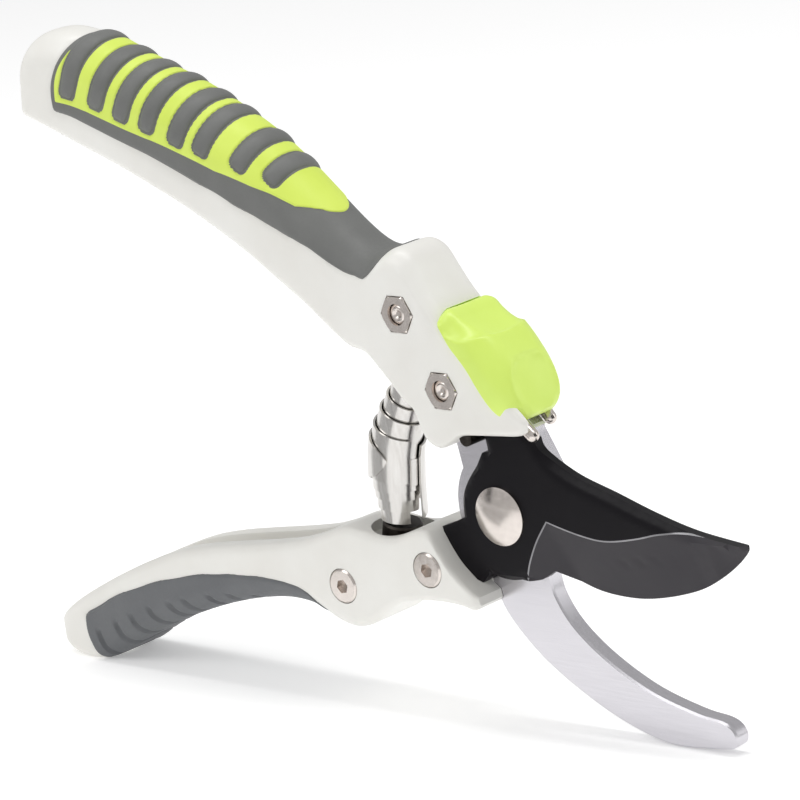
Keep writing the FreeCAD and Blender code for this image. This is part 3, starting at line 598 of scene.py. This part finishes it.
fasteners = {"head": [(-7.4, 25.4), (-16.5, 39.8)], "tang": [(-16.6, -11.5), (-39.8, -17.5)], "proud": 0.3,
             "flats": 7.0, "nutHigh": 2.4, "nutBore": 2.12, "nutChamfer": 0.32, "shank": 2.0,
             "headRadius": 3.5, "headHigh": 2.4, "headEdge": 0.35, "socket": 2.6, "gap": 0.14,
             # from the end back, radius: a chamfered tip with a centre dimple
             "tip": [(0.45, 2.0), (0.1, 1.6), (0.0, 1.25), (0.12, 0.9), (0.4, 0.5)]}
springLine = {"low": (-29.7, 0.2, -9.0), "high": (-21.2, 0.2, 31.0), "pocket": 6.2, "room": 30}
springAxis = Vector(springLine["high"]) - Vector(springLine["low"])
pocketEnds = (-9, -5.4)  # y where the pockets for nuts and screw heads start and end
headSlots = [  # along the slide from, to; out from, to; y from, to
    (17.4, 60, -5.2, 4, -4.7, 4.8), (17.4, 60, -5.4, 4, -6.2, -3.2), (17.4, 60, -6.8, 4, 3.3, 6.4)]
hookSide = [(5.4, 10), (30, 10), (30, 30), (5.4, 30)]  # where the head's far wall ends
cheekSide = [(-9.4, -8), (5, -8), (5, -24), (-9.4, -24)]  # where the cheek makes room for the hook plate
playAtHook = (-0.1, plates["hookFar"] + 0.5)

upperCasting = upperSkin.casting("upperCasting", powderPaint, seatUnder(greyOutline))
nutRoom = fasteners["flats"] + 2 * fasteners["gap"]
nutPockets = [hexagon(at, nutRoom, *pocketEnds) for at in fasteners["head"]]
slots = [slideBox(*slot) for slot in headSlots]
toothRoom = disc((0, 0), plates["toothSwing"], plates["bladeNear"] - 0.2, 0.0)
carve(upperCasting, nutPockets + [slots[0], toothRoom, slots[1], slots[2],
                                  prism(hookSide, plates["hookFar"], 9)])

lowerCasting = lowerSkin.casting("lowerCasting", powderPaint, seatUnder(slateOutline))
screwRoom = fasteners["headRadius"] + fasteners["gap"]
screwPockets = [disc(at, screwRoom, *pocketEnds) for at in fasteners["tang"]]
springRoom = turned("cutter", springLine["low"], springAxis,
                    [(0, springLine["pocket"]), (springLine["room"], springLine["pocket"])], powderPaint)
carve(lowerCasting, screwPockets + [springRoom, disc((0, 0), plates["hubSwing"], *playAtHook),
                                    prism(cheekSide, *playAtHook)])
print("castings ready")

# grips of the upper handle
limePad = {"start": -0.1, "proud": 0.5, "thick": 0.5, "lip": 0.5, "mesh": (330, 64), "channel": 0.45,
           "border": [(-105.4, 79.0), (-103.4, 77.5), (-94.3, 75.7), (-79.8, 71.5), (-70.2, 68.7),
                      (-60.9, 65.6), (-51.6, 63.0), (-47.4, 61.8), (-41.8, 59.2), (-38.2, 58.3),
                      (-37.0, 57.8)],
           "backMiddle": (-96.0, 91.0), "frontMiddle": (-33.6, 57.0), "corner": 2.5}
ribs = {"feet": [(-99.9, 78.7), (-92.6, 77.1), (-85.9, 74.9), (-78.8, 73.0), (-71.4, 70.7), (-63.7, 68.4),
                 (-55.3, 66.5), (-47.7, 63.8)],
        "width": 4.0, "gap": 0.4, "foot": 0.15, "crown": 0.85, "round": 1.3, "square": 14, "thick": 0.3,
        "mesh": (12, 64)}
ribSpots = [upperSkin.find(*foot) for foot in ribs["feet"]]


def greyLift(s, arc, edge):
    return lipLevel(edge, greyPad["start"], greyPad["proud"], greyPad["lip"])


# How far a place on the skin is outside a rib, less than nothing inside it.
def ribEdge(s, arc, rib):
    ribS, ribArc = rib
    r = ribs["round"]
    dx = abs(s - ribS) - (ribs["width"] / 2 - r)
    dy = abs(arc) - (ribArc - r)
    return math.hypot(max(dx, 0), max(dy, 0)) + min(max(dx, dy), 0) - r


# The lime layer drops into a fine channel round each rib.
def limeLift(s, arc, edge):
    level = lipLevel(edge, limePad["start"], limePad["proud"], limePad["lip"])
    gap = min(ribEdge(s, arc, rib) for rib in ribSpots)
    return level - limePad["channel"] * (1 - smoothStep(gap, ribs["gap"] * 0.5, ribs["gap"] * 1.4))


def ribPiece(name, ribS, ribArc):
    half = ribs["width"] / 2

    def spot(u, v):
        short = ribs["round"] * (1 - math.sqrt(max(1 - (abs(v) ** ribs["square"]), 0)))
        s = ribS + (2 * u - 1) * (half - short)
        arc = v * ribArc
        edge = min(half - short - abs(s - ribS), ribArc - abs(arc))
        return s, arc, edge

    def lift(s, arc, edge):
        share = 1 - min(max(edge, 0) / half, 1)
        return ribs["foot"] + ribs["crown"] * math.sqrt(max(1 - share ** 2, 0))

    return upperSkin.pad(name, spot, lift, ribs["thick"], ribs["mesh"], greyRubber)


upperPad = upperSkin.pad("upperGripPad", greyOutline.spot, greyLift, greyPad["thick"], greyPad["mesh"],
                         greyRubber)
limeOutline = PadOutline(upperSkin, limePad)
upperInlay = upperSkin.pad("upperGripInlay", limeOutline.spot, limeLift, limePad["thick"], limePad["mesh"],
                           limeRubber)
ribPieces = [ribPiece("upperGripRib%d" % (k + 1), *spot) for k, spot in enumerate(ribSpots)]
print("upper grips ready")

# grip of the lower handle
grooves = {"heads": [(-112.8, -35.5), (-107.6, -32.9), (-102.4, -30.7), (-97.2, -28.6), (-91.5, -26.9),
                     (-85.7, -25.2), (-79.8, -24.0), (-73.7, -23.1), (-66.7, -22.6)],
           "half": 0.8, "depth": 0.75, "bend": 5.0, "curl": 1.6, "runOut": 1.2}
grooveSpots = [lowerSkin.find(*head) for head in grooves["heads"]]


def slateLift(s, arc, edge):
    level = lipLevel(edge, slatePad["start"], slatePad["proud"], slatePad["lip"])
    for headS, headArc in grooveSpots:
        down = 1 - min(abs(arc) / headArc, 1.0)
        middle = headS + grooves["bend"] * down ** grooves["curl"]
        reach = smoothStep(headArc - abs(arc), 0.0, grooves["runOut"])
        level -= grooves["depth"] * reach * max(1 - ((s - middle) / grooves["half"]) ** 2, 0)
    return level


lowerPad = lowerSkin.pad("lowerGripPad", slateOutline.spot, slateLift, slatePad["thick"], slatePad["mesh"],
                         slateRubber)
print("lower grip ready")

# thumb slide
cap = {
    "midY": 0.2, "fit": 0.12, "dipEdge": 0.6, "sharp": 50,  # fit: running gap round the head
    "rows": [  # along the slide, skirt, top; skirt radius, top radius; half width
        (1.4, 0.4, 1.8, 0.3, 0.6, 5.0), (2.0, 0.0, 3.4, 0.5, 2.2, 7.0),
        (3.4, -0.4, 4.3, 0.5, 3.6, 8.4), (5.6, -0.9, 4.7, 0.6, 5.0, 8.7),
        (8.0, -1.4, 5.1, 0.6, 6.0, 8.8), (10.6, -1.6, 5.4, 0.6, 6.6, 8.8),
        (13.5, -1.9, 5.4, 0.6, 6.8, 8.8), (16.5, -2.6, 5.1, 0.6, 6.4, 8.8),
        (18.5, -3.0, 4.7, 0.6, 6.2, 8.8), (20.5, -3.4, 4.1, 0.6, 5.8, 8.7),
        (22.5, -3.7, 3.3, 0.6, 5.4, 8.4), (24.3, -3.8, 2.4, 0.6, 4.8, 7.8),
        (25.8, -3.7, 1.5, 0.6, 3.8, 6.8), (26.9, -3.2, 0.6, 0.4, 2.6, 5.2),
        (27.4, -2.4, 0.0, 0.3, 1.4, 3.6)],
    "dips": [  # along, round; half length, half width; depth
        (5.6, 0.0, 6.6, 12.0, 1.9), (23.4, -0.6, 6.0, 7.0, 1.3)]}
capSkin = Handle([slidePoint(a, low) + slidePoint(a, top) + (lowR, topR, half, 0)
                  for a, low, top, lowR, topR, half in cap["rows"]], 10, cap["midY"])


def thumbDip(s, run):
    crown = capSkin.slice(s)[0]
    along = (crown - slideStart) @ slideDir
    total = 0.0
    for place, middle, halfLong, halfWide, depth in cap["dips"]:
        far = ((along - place) / halfLong) ** 2 + ((run - middle) / halfWide) ** 2
        total += depth * max(1 - far, 0) ** cap["dipEdge"]
    return total


thumbSlide = capSkin.casting("thumbSlide", limeNylon, thumbDip)
carve(thumbSlide, [upperSkin.casting("cutter", limeNylon, lambda s, arc: -cap["fit"])], cap["sharp"])
print("thumb slide ready")

# hook plate and cutting blade
def smoothPath(points, steps=8):
    return [tuple(p) for p in smoothRows(points, steps)]


def polarPath(radius, first, last, count):
    turns = np.radians(np.linspace(first, last, count))
    return [(radius * math.cos(t), radius * math.sin(t)) for t in turns]


def circle(at, radius, count=48):
    return [(at[0] + x, at[1] + z) for x, z in polarPath(radius, 0, 360, count + 1)[:-1]]


hook = {"near": 0.0, "far": 3.3, "arris": 0.45, "arrisDeep": 0.28,
        "inner": [(8.0, -10.9), (9.0, -15.9), (12.8, -21.6), (20.0, -27.3), (30.0, -32.4), (40.5, -35.3),
                  (46.5, -36.1), (49.0, -37.2), (50.0, -39.0), (49.6, -40.6), (48.6, -41.4)],
        "outer": [(48.6, -41.4), (44.0, -42.0), (33.7, -42.5), (23.6, -39.9), (13.6, -35.3), (3.8, -29.0),
                  (-3.4, -21.8), (-6.6, -15.6), (-7.4, -13.2)],
        "tang": [(-12.3, 13.0), (-12.9, 22.0), (-13.6, 30.5), (-17.5, 33.6), (-21.4, 38.0), (-21.3, 44.0),
                 (-15.8, 46.6), (-10.6, 43.2)],
        "guide": [(2.0, -1.6), (17.2, -1.6), (17.2, -5.2), (27.6, -5.2)],
        "throat": [(8.3, 16.7), (10.2, 13.2), (12.2, 9.4)], "bore": 3.5, "mesh": 2.2,
        "hubBack": (13.6, 195, 146, 16), "hubFront": (15.4, 0, -40, 12)}  # radius, degrees, points
hookRim = smoothPath(hook["inner"])[:-1] + smoothPath(hook["outer"])
hookOutline = (hookRim + polarPath(*hook["hubBack"]) + smoothPath(hook["tang"], 4)
               + [slidePoint(*p) for p in hook["guide"]] + smoothPath(hook["throat"], 4)
               + polarPath(*hook["hubFront"]))
hookEdge = np.array(hookOutline + hookOutline[:1])


def fallAway(distance, width, deep):
    return deep * max(1 - distance / width, 0) ** 2


def offsetPath(path, by):
    path = np.array(path)
    turn = np.gradient(path, axis=0)
    across = np.stack([-turn[:, 1], turn[:, 0]], axis=1) / np.linalg.norm(turn, axis=1)[:, None]
    return path + across * by


boltBores = {group: [circle(at, fasteners["shank"], 24) for at in fasteners[group]]
             for group in ("head", "tang")}
hookCrease = [p for p in offsetPath(hookRim, -hook["arris"])[2:-5]
              if distanceTo(hookEdge, *p) > 0.97 * hook["arris"]]
hookPlate = platePiece(
    "hookPlate", hookOutline, [circle((0, 0), hook["bore"])] + boltBores["head"], [hookCrease],
    hook["near"], hook["far"],
    lambda x, z: fallAway(distanceTo(hookEdge, x, z), hook["arris"], hook["arrisDeep"]),
    lambda x, z: 0, [groundSteel], hook["mesh"])

blade = {"near": -3.1, "far": -0.1, "land": 0.15, "fullBevel": 10.6, "lineWide": 0.26,
         "spine": [(9.96, 15.94), (11.4, 13.4), (18.5, 9.5), (27.3, 6.7), (36.5, 3.7), (46.0, 1.3),
                   (57.4, -0.2)],
         "edge": [(57.4, -0.2), (57.2, -1.6), (54.3, -4.6), (49.6, -8.0), (44.2, -10.7), (36.0, -13.0),
                  (28.5, -13.9), (20.0, -13.2), (11.1, -10.2)],
         "heel": [(11.1, -10.2), (9.6, -11.2), (8.0, -12.1), (5.0, -12.6)],
         "hub": [(-9.9, -1.5), (-9.6, 2.6), (-7.9, 6.0), (-4.7, 9.9)],
         "tang": [(-5.4, -12.7), (-9.0, -15.6), (-20.0, -17.6), (-34.0, -20.8), (-41.5, -21.8),
                  (-44.6, -19.0), (-43.6, -14.8), (-36.0, -12.4), (-25.0, -10.4), (-22.2, -7.4),
                  (-18.2, -4.8), (-14.0, -3.3), (-9.9, -1.5)],
         "grindTop": [(11.4, 0.0), (15.0, -0.9), (19.5, -1.8), (24.0, -2.3), (28.0, -2.0), (33.4, -0.9),
                      (38.6, 0.5), (44.0, 1.2), (50.0, 0.9)],
         "grindHeel": [(5.0, -12.4), (6.0, -9.0), (8.3, -4.4), (11.4, 0.0)],
         "grindTip": [(54.0, 0.35), (57.0, -0.1)], "lineEnd": 55, "bore": 3.54, "mesh": 0.9,
         # rounding of the near face's edges at the hub, what the spine adds, and how the tip thins it again
         "hubRound": 1.2, "spineRound": 1.3, "spineFrom": (8, 14), "tipThins": 0.6, "tipFrom": (30, 52),
         "roundDeep": 0.55, "tipBevel": 0.96, "tipBevelFrom": (42, 54),
         # radius, degrees from and to, points
         "belly": (13.0, -76, -113, 10), "shoulder": (12.6, 106, 98.2, 3), "tooth": (22.0, 98.2, 85, 8),
         "notch": (18.8, 83, 59, 10)}
edgePath = smoothPath(blade["edge"])
heelPath = smoothPath(blade["heel"], 4)
bladeOutline = (smoothPath(blade["spine"])[:-1] + edgePath[:-1] + heelPath + polarPath(*blade["belly"])
                + smoothPath(blade["tang"], 3)[:-1] + smoothPath(blade["hub"], 5)[:-1]
                + polarPath(*blade["shoulder"]) + polarPath(*blade["tooth"]) + polarPath(*blade["notch"]))
grindLine = np.array(smoothPath(blade["grindHeel"], 6)[:-1] + smoothPath(blade["grindTop"], 6)
                     + blade["grindTip"])
cuttingEdge = np.array(edgePath + heelPath[1:])
softEdge = np.array([p for p in bladeOutline if distanceTo(cuttingEdge, *p) > 0.3])
grindArea = np.vstack([grindLine, cuttingEdge])


# The bevel falls from the grind line to the cutting edge; every other edge of the near face is rounded.
def bladeDepth(x, z):
    away, toEdge = distanceTo(grindLine, x, z), distanceTo(cuttingEdge, x, z)
    spineShare = smoothStep(x, *blade["spineFrom"])
    tipShare = 1 - blade["tipThins"] * smoothStep(x, *blade["tipFrom"])
    rounding = blade["hubRound"] + blade["spineRound"] * spineShare * tipShare
    fall = fallAway(distanceTo(softEdge, x, z), rounding, blade["roundDeep"] * rounding)
    if not inside(grindArea, x, z) and toEdge > 0.02:
        return fall
    share = away / max(away + toEdge, 1e-6)
    tipFull = blade["tipBevel"] * smoothStep(x, *blade["tipBevelFrom"])
    full = max((away + toEdge) / blade["fullBevel"], tipFull)
    deepest = blade["far"] - blade["near"] - blade["land"]
    return min(max(fall, min(full, 1) * deepest * share), deepest)


# 0 is the coated flat, 1 the bevel, 2 a painted highlight line along the grind line and the cutting edge.
def bladeFinish(x, z):
    if distanceTo(grindLine, x, z) < blade["lineWide"] / 2 and x < blade["lineEnd"]:
        return 2
    if inside(grindArea, x, z):
        return 2 if distanceTo(cuttingEdge, x, z) < blade["lineWide"] / 2 else 1
    return 0


creases = [grindLine[1:-1], offsetPath(grindLine, blade["lineWide"] * 0.6)[3:-3],
           offsetPath(grindLine, -blade["lineWide"] * 0.6)[3:-3]]
# The third material paints a highlight line along the grind line and the cutting edge.
cuttingBlade = platePiece(
    "cuttingBlade", bladeOutline, [circle((0, 0), blade["bore"])] + boltBores["tang"], creases,
    blade["near"], blade["far"], bladeDepth, bladeFinish, [blackCoat, bevelCoat, paintedEdgeHighlight], blade["mesh"])
print("blades ready")

# bolts and nuts
def socketBolt(name, at, headY, way, length):
    f = fasteners
    rings = [(0, f["headRadius"] - f["headEdge"]), (f["headEdge"], f["headRadius"]),
             (f["headHigh"], f["headRadius"]), (f["headHigh"], f["shank"])]
    rings += [(length - back, radius) for back, radius in f["tip"]]
    bolt = turned(name, (at[0], headY, at[1]), (0, way, 0), rings, nickelPlate, 48, 30)
    near, far = sorted((headY - way, headY + way * f["headHigh"] * 0.7))
    carve(bolt, [hexagon(at, f["socket"], near, far, 12)], 30)
    return bolt


def hexNut(name, at, faceY, way):
    f = fasteners
    reach = f["flats"] / math.sqrt(3)
    points, faces, count = [], [], 72
    rings = [(0, f["nutBore"]), (0, reach * 0.9), (f["nutChamfer"], reach), (f["nutHigh"], reach),
             (f["nutHigh"], f["nutBore"])]
    for along, radius in rings:
        for k in range(count):
            turn = 2 * math.pi * k / count
            flatAt = f["flats"] / 2 / math.cos((turn % (math.pi / 3)) - math.pi / 6)
            r = min(radius, flatAt)
            points.append((at[0] + r * math.cos(turn), faceY + way * along, at[1] + r * math.sin(turn)))
    for i in range(len(rings)):
        first, after = i * count, (i + 1) % len(rings) * count
        faces += [[first + k, first + (k + 1) % count, after + (k + 1) % count, after + k]
                  for k in range(count)]
    return makeMesh(name, points, faces, nickelPlate, 25)


boltPieces = []
boltLong = plates["caseFar"] - plates["caseNear"] + fasteners["proud"]
nearFace, farFace = plates["caseNear"] - fasteners["proud"], plates["caseFar"] + fasteners["proud"]
for group, kind, body, headY, nutY, way in (("head", "bolt", "upper", farFace, nearFace, -1),
                                            ("tang", "screw", "lower", nearFace, farFace, 1)):
    for spot, at in zip(("front", "rear"), fasteners[group]):
        bolt = socketBolt(group + kind.title() + spot.title(), at, headY, way, boltLong)
        nut = hexNut(group + "Nut" + spot.title(), at, nutY, -way)
        boltPieces.append((bolt, "%s_%s_%s" % (group, kind, spot), body))
        boltPieces.append((nut, "%s_nut_%s" % (group, spot), body))
print("fasteners ready")

# volute spring
spring = {"midY": 0.2, "thick": 0.42, "stepDegrees": 6, "across": 6, "plug": [(0, 4.0), (3.6, 4.0), (4.0, 3.6)],
          "foot": (-0.0297, 0.0002, -0.006), "head": (-0.0225, 0.0002, 0.027),  # in m
          "axis": [(-29.7, -9.0), (-29.5, -5.0), (-29.3, -1.0), (-29.1, 3.2), (-28.3, 9.5), (-26.8, 14.7),
                   (-25.1, 18.9), (-23.1, 23.1), (-21.4, 29.0)],
          # angle about the axis, radius, lower edge, upper edge
          "upper": [(-20, 5.25, 4.1, 13.6), (-200, 5.15, 5.0, 15.4), (-380, 4.75, 6.5, 17.2),
                    (-740, 4.05, 9.5, 20.0), (-1100, 3.4, 12.5, 23.0), (-1460, 2.8, 15.5, 26.5)],
          "wrap": [(-70, 5.6, 8.9, 9.2), (-78, 5.75, 7.4, 10.1), (-100, 5.8, 5.4, 11.2),
                   (-140, 5.75, 4.2, 12.4), (-230, 5.7, 0.0, 13.0), (-320, 5.65, -3.4, 12.6),
                   (-352, 5.6, -4.0, 12.2)],
          "lower": [(-14, 5.0, 3.1, 9.0), (346, 4.75, 1.9, 7.5), (706, 4.45, 0.0, 6.0),
                    (1066, 4.05, -2.4, 3.5), (1426, 3.65, -5.0, 0.5)]}


def springPoint(height, radius, angle):
    heights = [p[1] for p in spring["axis"]]
    places = [p[0] for p in spring["axis"]]
    x = np.interp(height, heights, places)
    tilt = math.atan2(np.interp(height + 1, heights, places) - np.interp(height - 1, heights, places), 2)
    across, deep = math.cos(angle) * radius, math.sin(angle) * radius
    return x + across * math.cos(tilt), spring["midY"] + deep, height - across * math.sin(tilt)


def springStrip(name, rows):
    rows = np.array(rows if rows[0][0] < rows[-1][0] else rows[::-1], float)
    count = int((rows[-1, 0] - rows[0, 0]) / spring["stepDegrees"])
    points, across = [], spring["across"]
    for i in range(count + 1):
        angle = rows[0, 0] + (rows[-1, 0] - rows[0, 0]) * i / count
        radius, low, high = (np.interp(angle, rows[:, 0], rows[:, k]) for k in (1, 2, 3))
        ring = [(radius, low + (high - low) * k / across) for k in range(across + 1)]
        ring += [(radius - spring["thick"], z) for r, z in reversed(ring)]
        points += [springPoint(z, r, math.radians(angle)) for r, z in ring]
    faces = tubeFaces(count + 1, 2 * (across + 1))
    return makeMesh(name, points, faces[2:] + [faces[0], faces[1][::-1]], rolledStrip, 50)


springStrips = [springStrip("voluteStrip" + part.title(), spring[part])
                for part in ("upper", "wrap", "lower")]
seatPlug = turned("springSeatPlug", springLine["low"], springAxis, spring["plug"], blackOxide)
print("spring ready")

# riding and replaced nodes
for piece in springStrips:
    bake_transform(piece)
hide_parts("volute_spring")
for piece in ribPieces:
    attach(piece, "upper")
riders = [(upperCasting, "upper", "painted_casting", "upper_handle"),
          (lowerCasting, "lower", "painted_casting", "lower_handle"),
          (upperPad, "upper", "grey_grip", "upper_grip"),
          (upperInlay, "upper", "lime_inlay", "upper_grip_inlay"),
          (lowerPad, "lower", "grey_grip", "lower_grip"),
          (thumbSlide, "lock", "lime_plastic", "lock_slide"),
          (seatPlug, "lower", "dark_steel", "lower_spring_seat"),
          (hookPlate, "upper", "hook_steel", "hook_blade"),
          (cuttingBlade, "lower", "coated_blade", "cutting_blade")]
riders += [(piece, body, "bright_steel", node) for piece, node, body in boltPieces]
for piece, body, slot, node in riders:
    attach(piece, body)
    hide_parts(node)

# floor, lights and camera
studio = {"floorZ": cadBounds[0][2], "floorSize": 8.0, "world": 0.52, "glow": 0.25}
floorMesh = bpy.data.meshes.new("studioFloor")
half = studio["floorSize"] / 2
floorCorners = [(-half, -half, 0), (half, -half, 0), (half, half, 0), (-half, half, 0)]
floorMesh.from_pydata(floorCorners, [], [(0, 1, 2, 3)])
floor = bpy.data.objects.new("studioFloor", floorMesh)
floor.location.z = studio["floorZ"]
bpy.context.scene.collection.objects.link(floor)
paper, tree, shader, where = startMaterial("matStudioPaper", Base_Color=linear("#FAFAFA"), Roughness=0.9)
shader.inputs["Emission Color"].default_value = (1, 1, 1, 1)
shader.inputs["Emission Strength"].default_value = studio["glow"]
floorMesh.materials.append(paper)

world = bpy.data.worlds.new("softStudio")
bpy.context.scene.world = world
world.use_nodes = True
world.node_tree.nodes["Background"].inputs["Color"].default_value = (1, 1, 1, 1)
world.node_tree.nodes["Background"].inputs["Strength"].default_value = studio["world"]

softboxes = [  # name, place, size, watts
    ("keyBox", (-0.45, -0.75, 0.85), (0.7, 0.5), 2.6), ("topStrip", (-0.03, 0.05, 1.1), (1.3, 0.14), 5.5),
    ("rimBox", (0.7, 0.5, 0.35), (0.3, 0.6), 0.8)]
for name, place, size, watts in softboxes:
    lamp = bpy.data.lights.new(name, "AREA")
    lamp.shape = "RECTANGLE"
    lamp.size, lamp.size_y = size
    lamp.energy = watts
    holder = bpy.data.objects.new(name, lamp)
    holder.location = place
    holder.rotation_euler = (Vector((-0.02, 0, 0.02)) - Vector(place)).to_track_quat("-Z", "Y").to_euler()
    bpy.context.scene.collection.objects.link(holder)

# Dark and grey cards that only show in reflections give the bright metal its contrast.
cards = {  # how bright each is, and its corners
    "greyLow": (0.52, [(-0.62, -0.62, -0.035), (-0.04, -0.62, -0.035), (-0.04, -0.06, -0.035),
                       (-0.62, -0.06, -0.035)]),
    "darkRight": (0.03, [(0.22, -0.12, -0.03), (0.22, 0.12, -0.03), (0.22, 0.12, 0.22),
                         (0.22, -0.12, 0.22)]),
    "darkLeft": (0.05, [(-0.5, -0.26, 0.02), (-0.4, -0.36, 0.02), (-0.4, -0.36, 0.2), (-0.5, -0.26, 0.2)])}
for name, (shade, corners) in cards.items():
    cardMesh = bpy.data.meshes.new(name)
    cardMesh.from_pydata(corners, [], [(0, 1, 2, 3)])
    cardMaterial = bpy.data.materials.new("matCard" + name[0].upper() + name[1:])
    cardMaterial.use_nodes = True
    cardMaterial.node_tree.nodes.clear()
    glow = addNode(cardMaterial.node_tree, "ShaderNodeEmission", {"Strength": shade})
    addNode(cardMaterial.node_tree, "ShaderNodeOutputMaterial", {"Surface": glow.outputs[0]})
    cardMesh.materials.append(cardMaterial)
    card = bpy.data.objects.new(name, cardMesh)
    card.visible_camera = card.visible_diffuse = card.visible_shadow = card.visible_transmission = False
    bpy.context.scene.collection.objects.link(card)

view = {"azimuth": 43.5, "elevation": 14.6, "roll": -6.9, "lens": 191.43,
        "place": (0.5255, -0.5807, 0.2285)}
a, e, roll = (math.radians(view[key]) for key in ("azimuth", "elevation", "roll"))
right = Vector((math.cos(a), math.sin(a), 0))
up = Vector((-math.sin(a) * math.sin(e), math.cos(a) * math.sin(e), math.cos(e)))
back = Vector((math.sin(a) * math.cos(e), -math.cos(a) * math.cos(e), math.sin(e)))
tiltedRight = right * math.cos(roll) + up * math.sin(roll)
tiltedUp = up * math.cos(roll) - right * math.sin(roll)
lens = bpy.data.cameras.new("studioCamera")
lens.lens = view["lens"]
lens.sensor_width = 36
lens.clip_end = 50
camera = bpy.data.objects.new("studioCamera", lens)
turn = Matrix((tiltedRight, tiltedUp, back)).transposed().to_4x4()
camera.matrix_world = Matrix.Translation(view["place"]) @ turn
bpy.context.scene.collection.objects.link(camera)
bpy.context.scene.camera = camera
bpy.context.scene.view_settings.view_transform = "Standard"
print("studio ready")
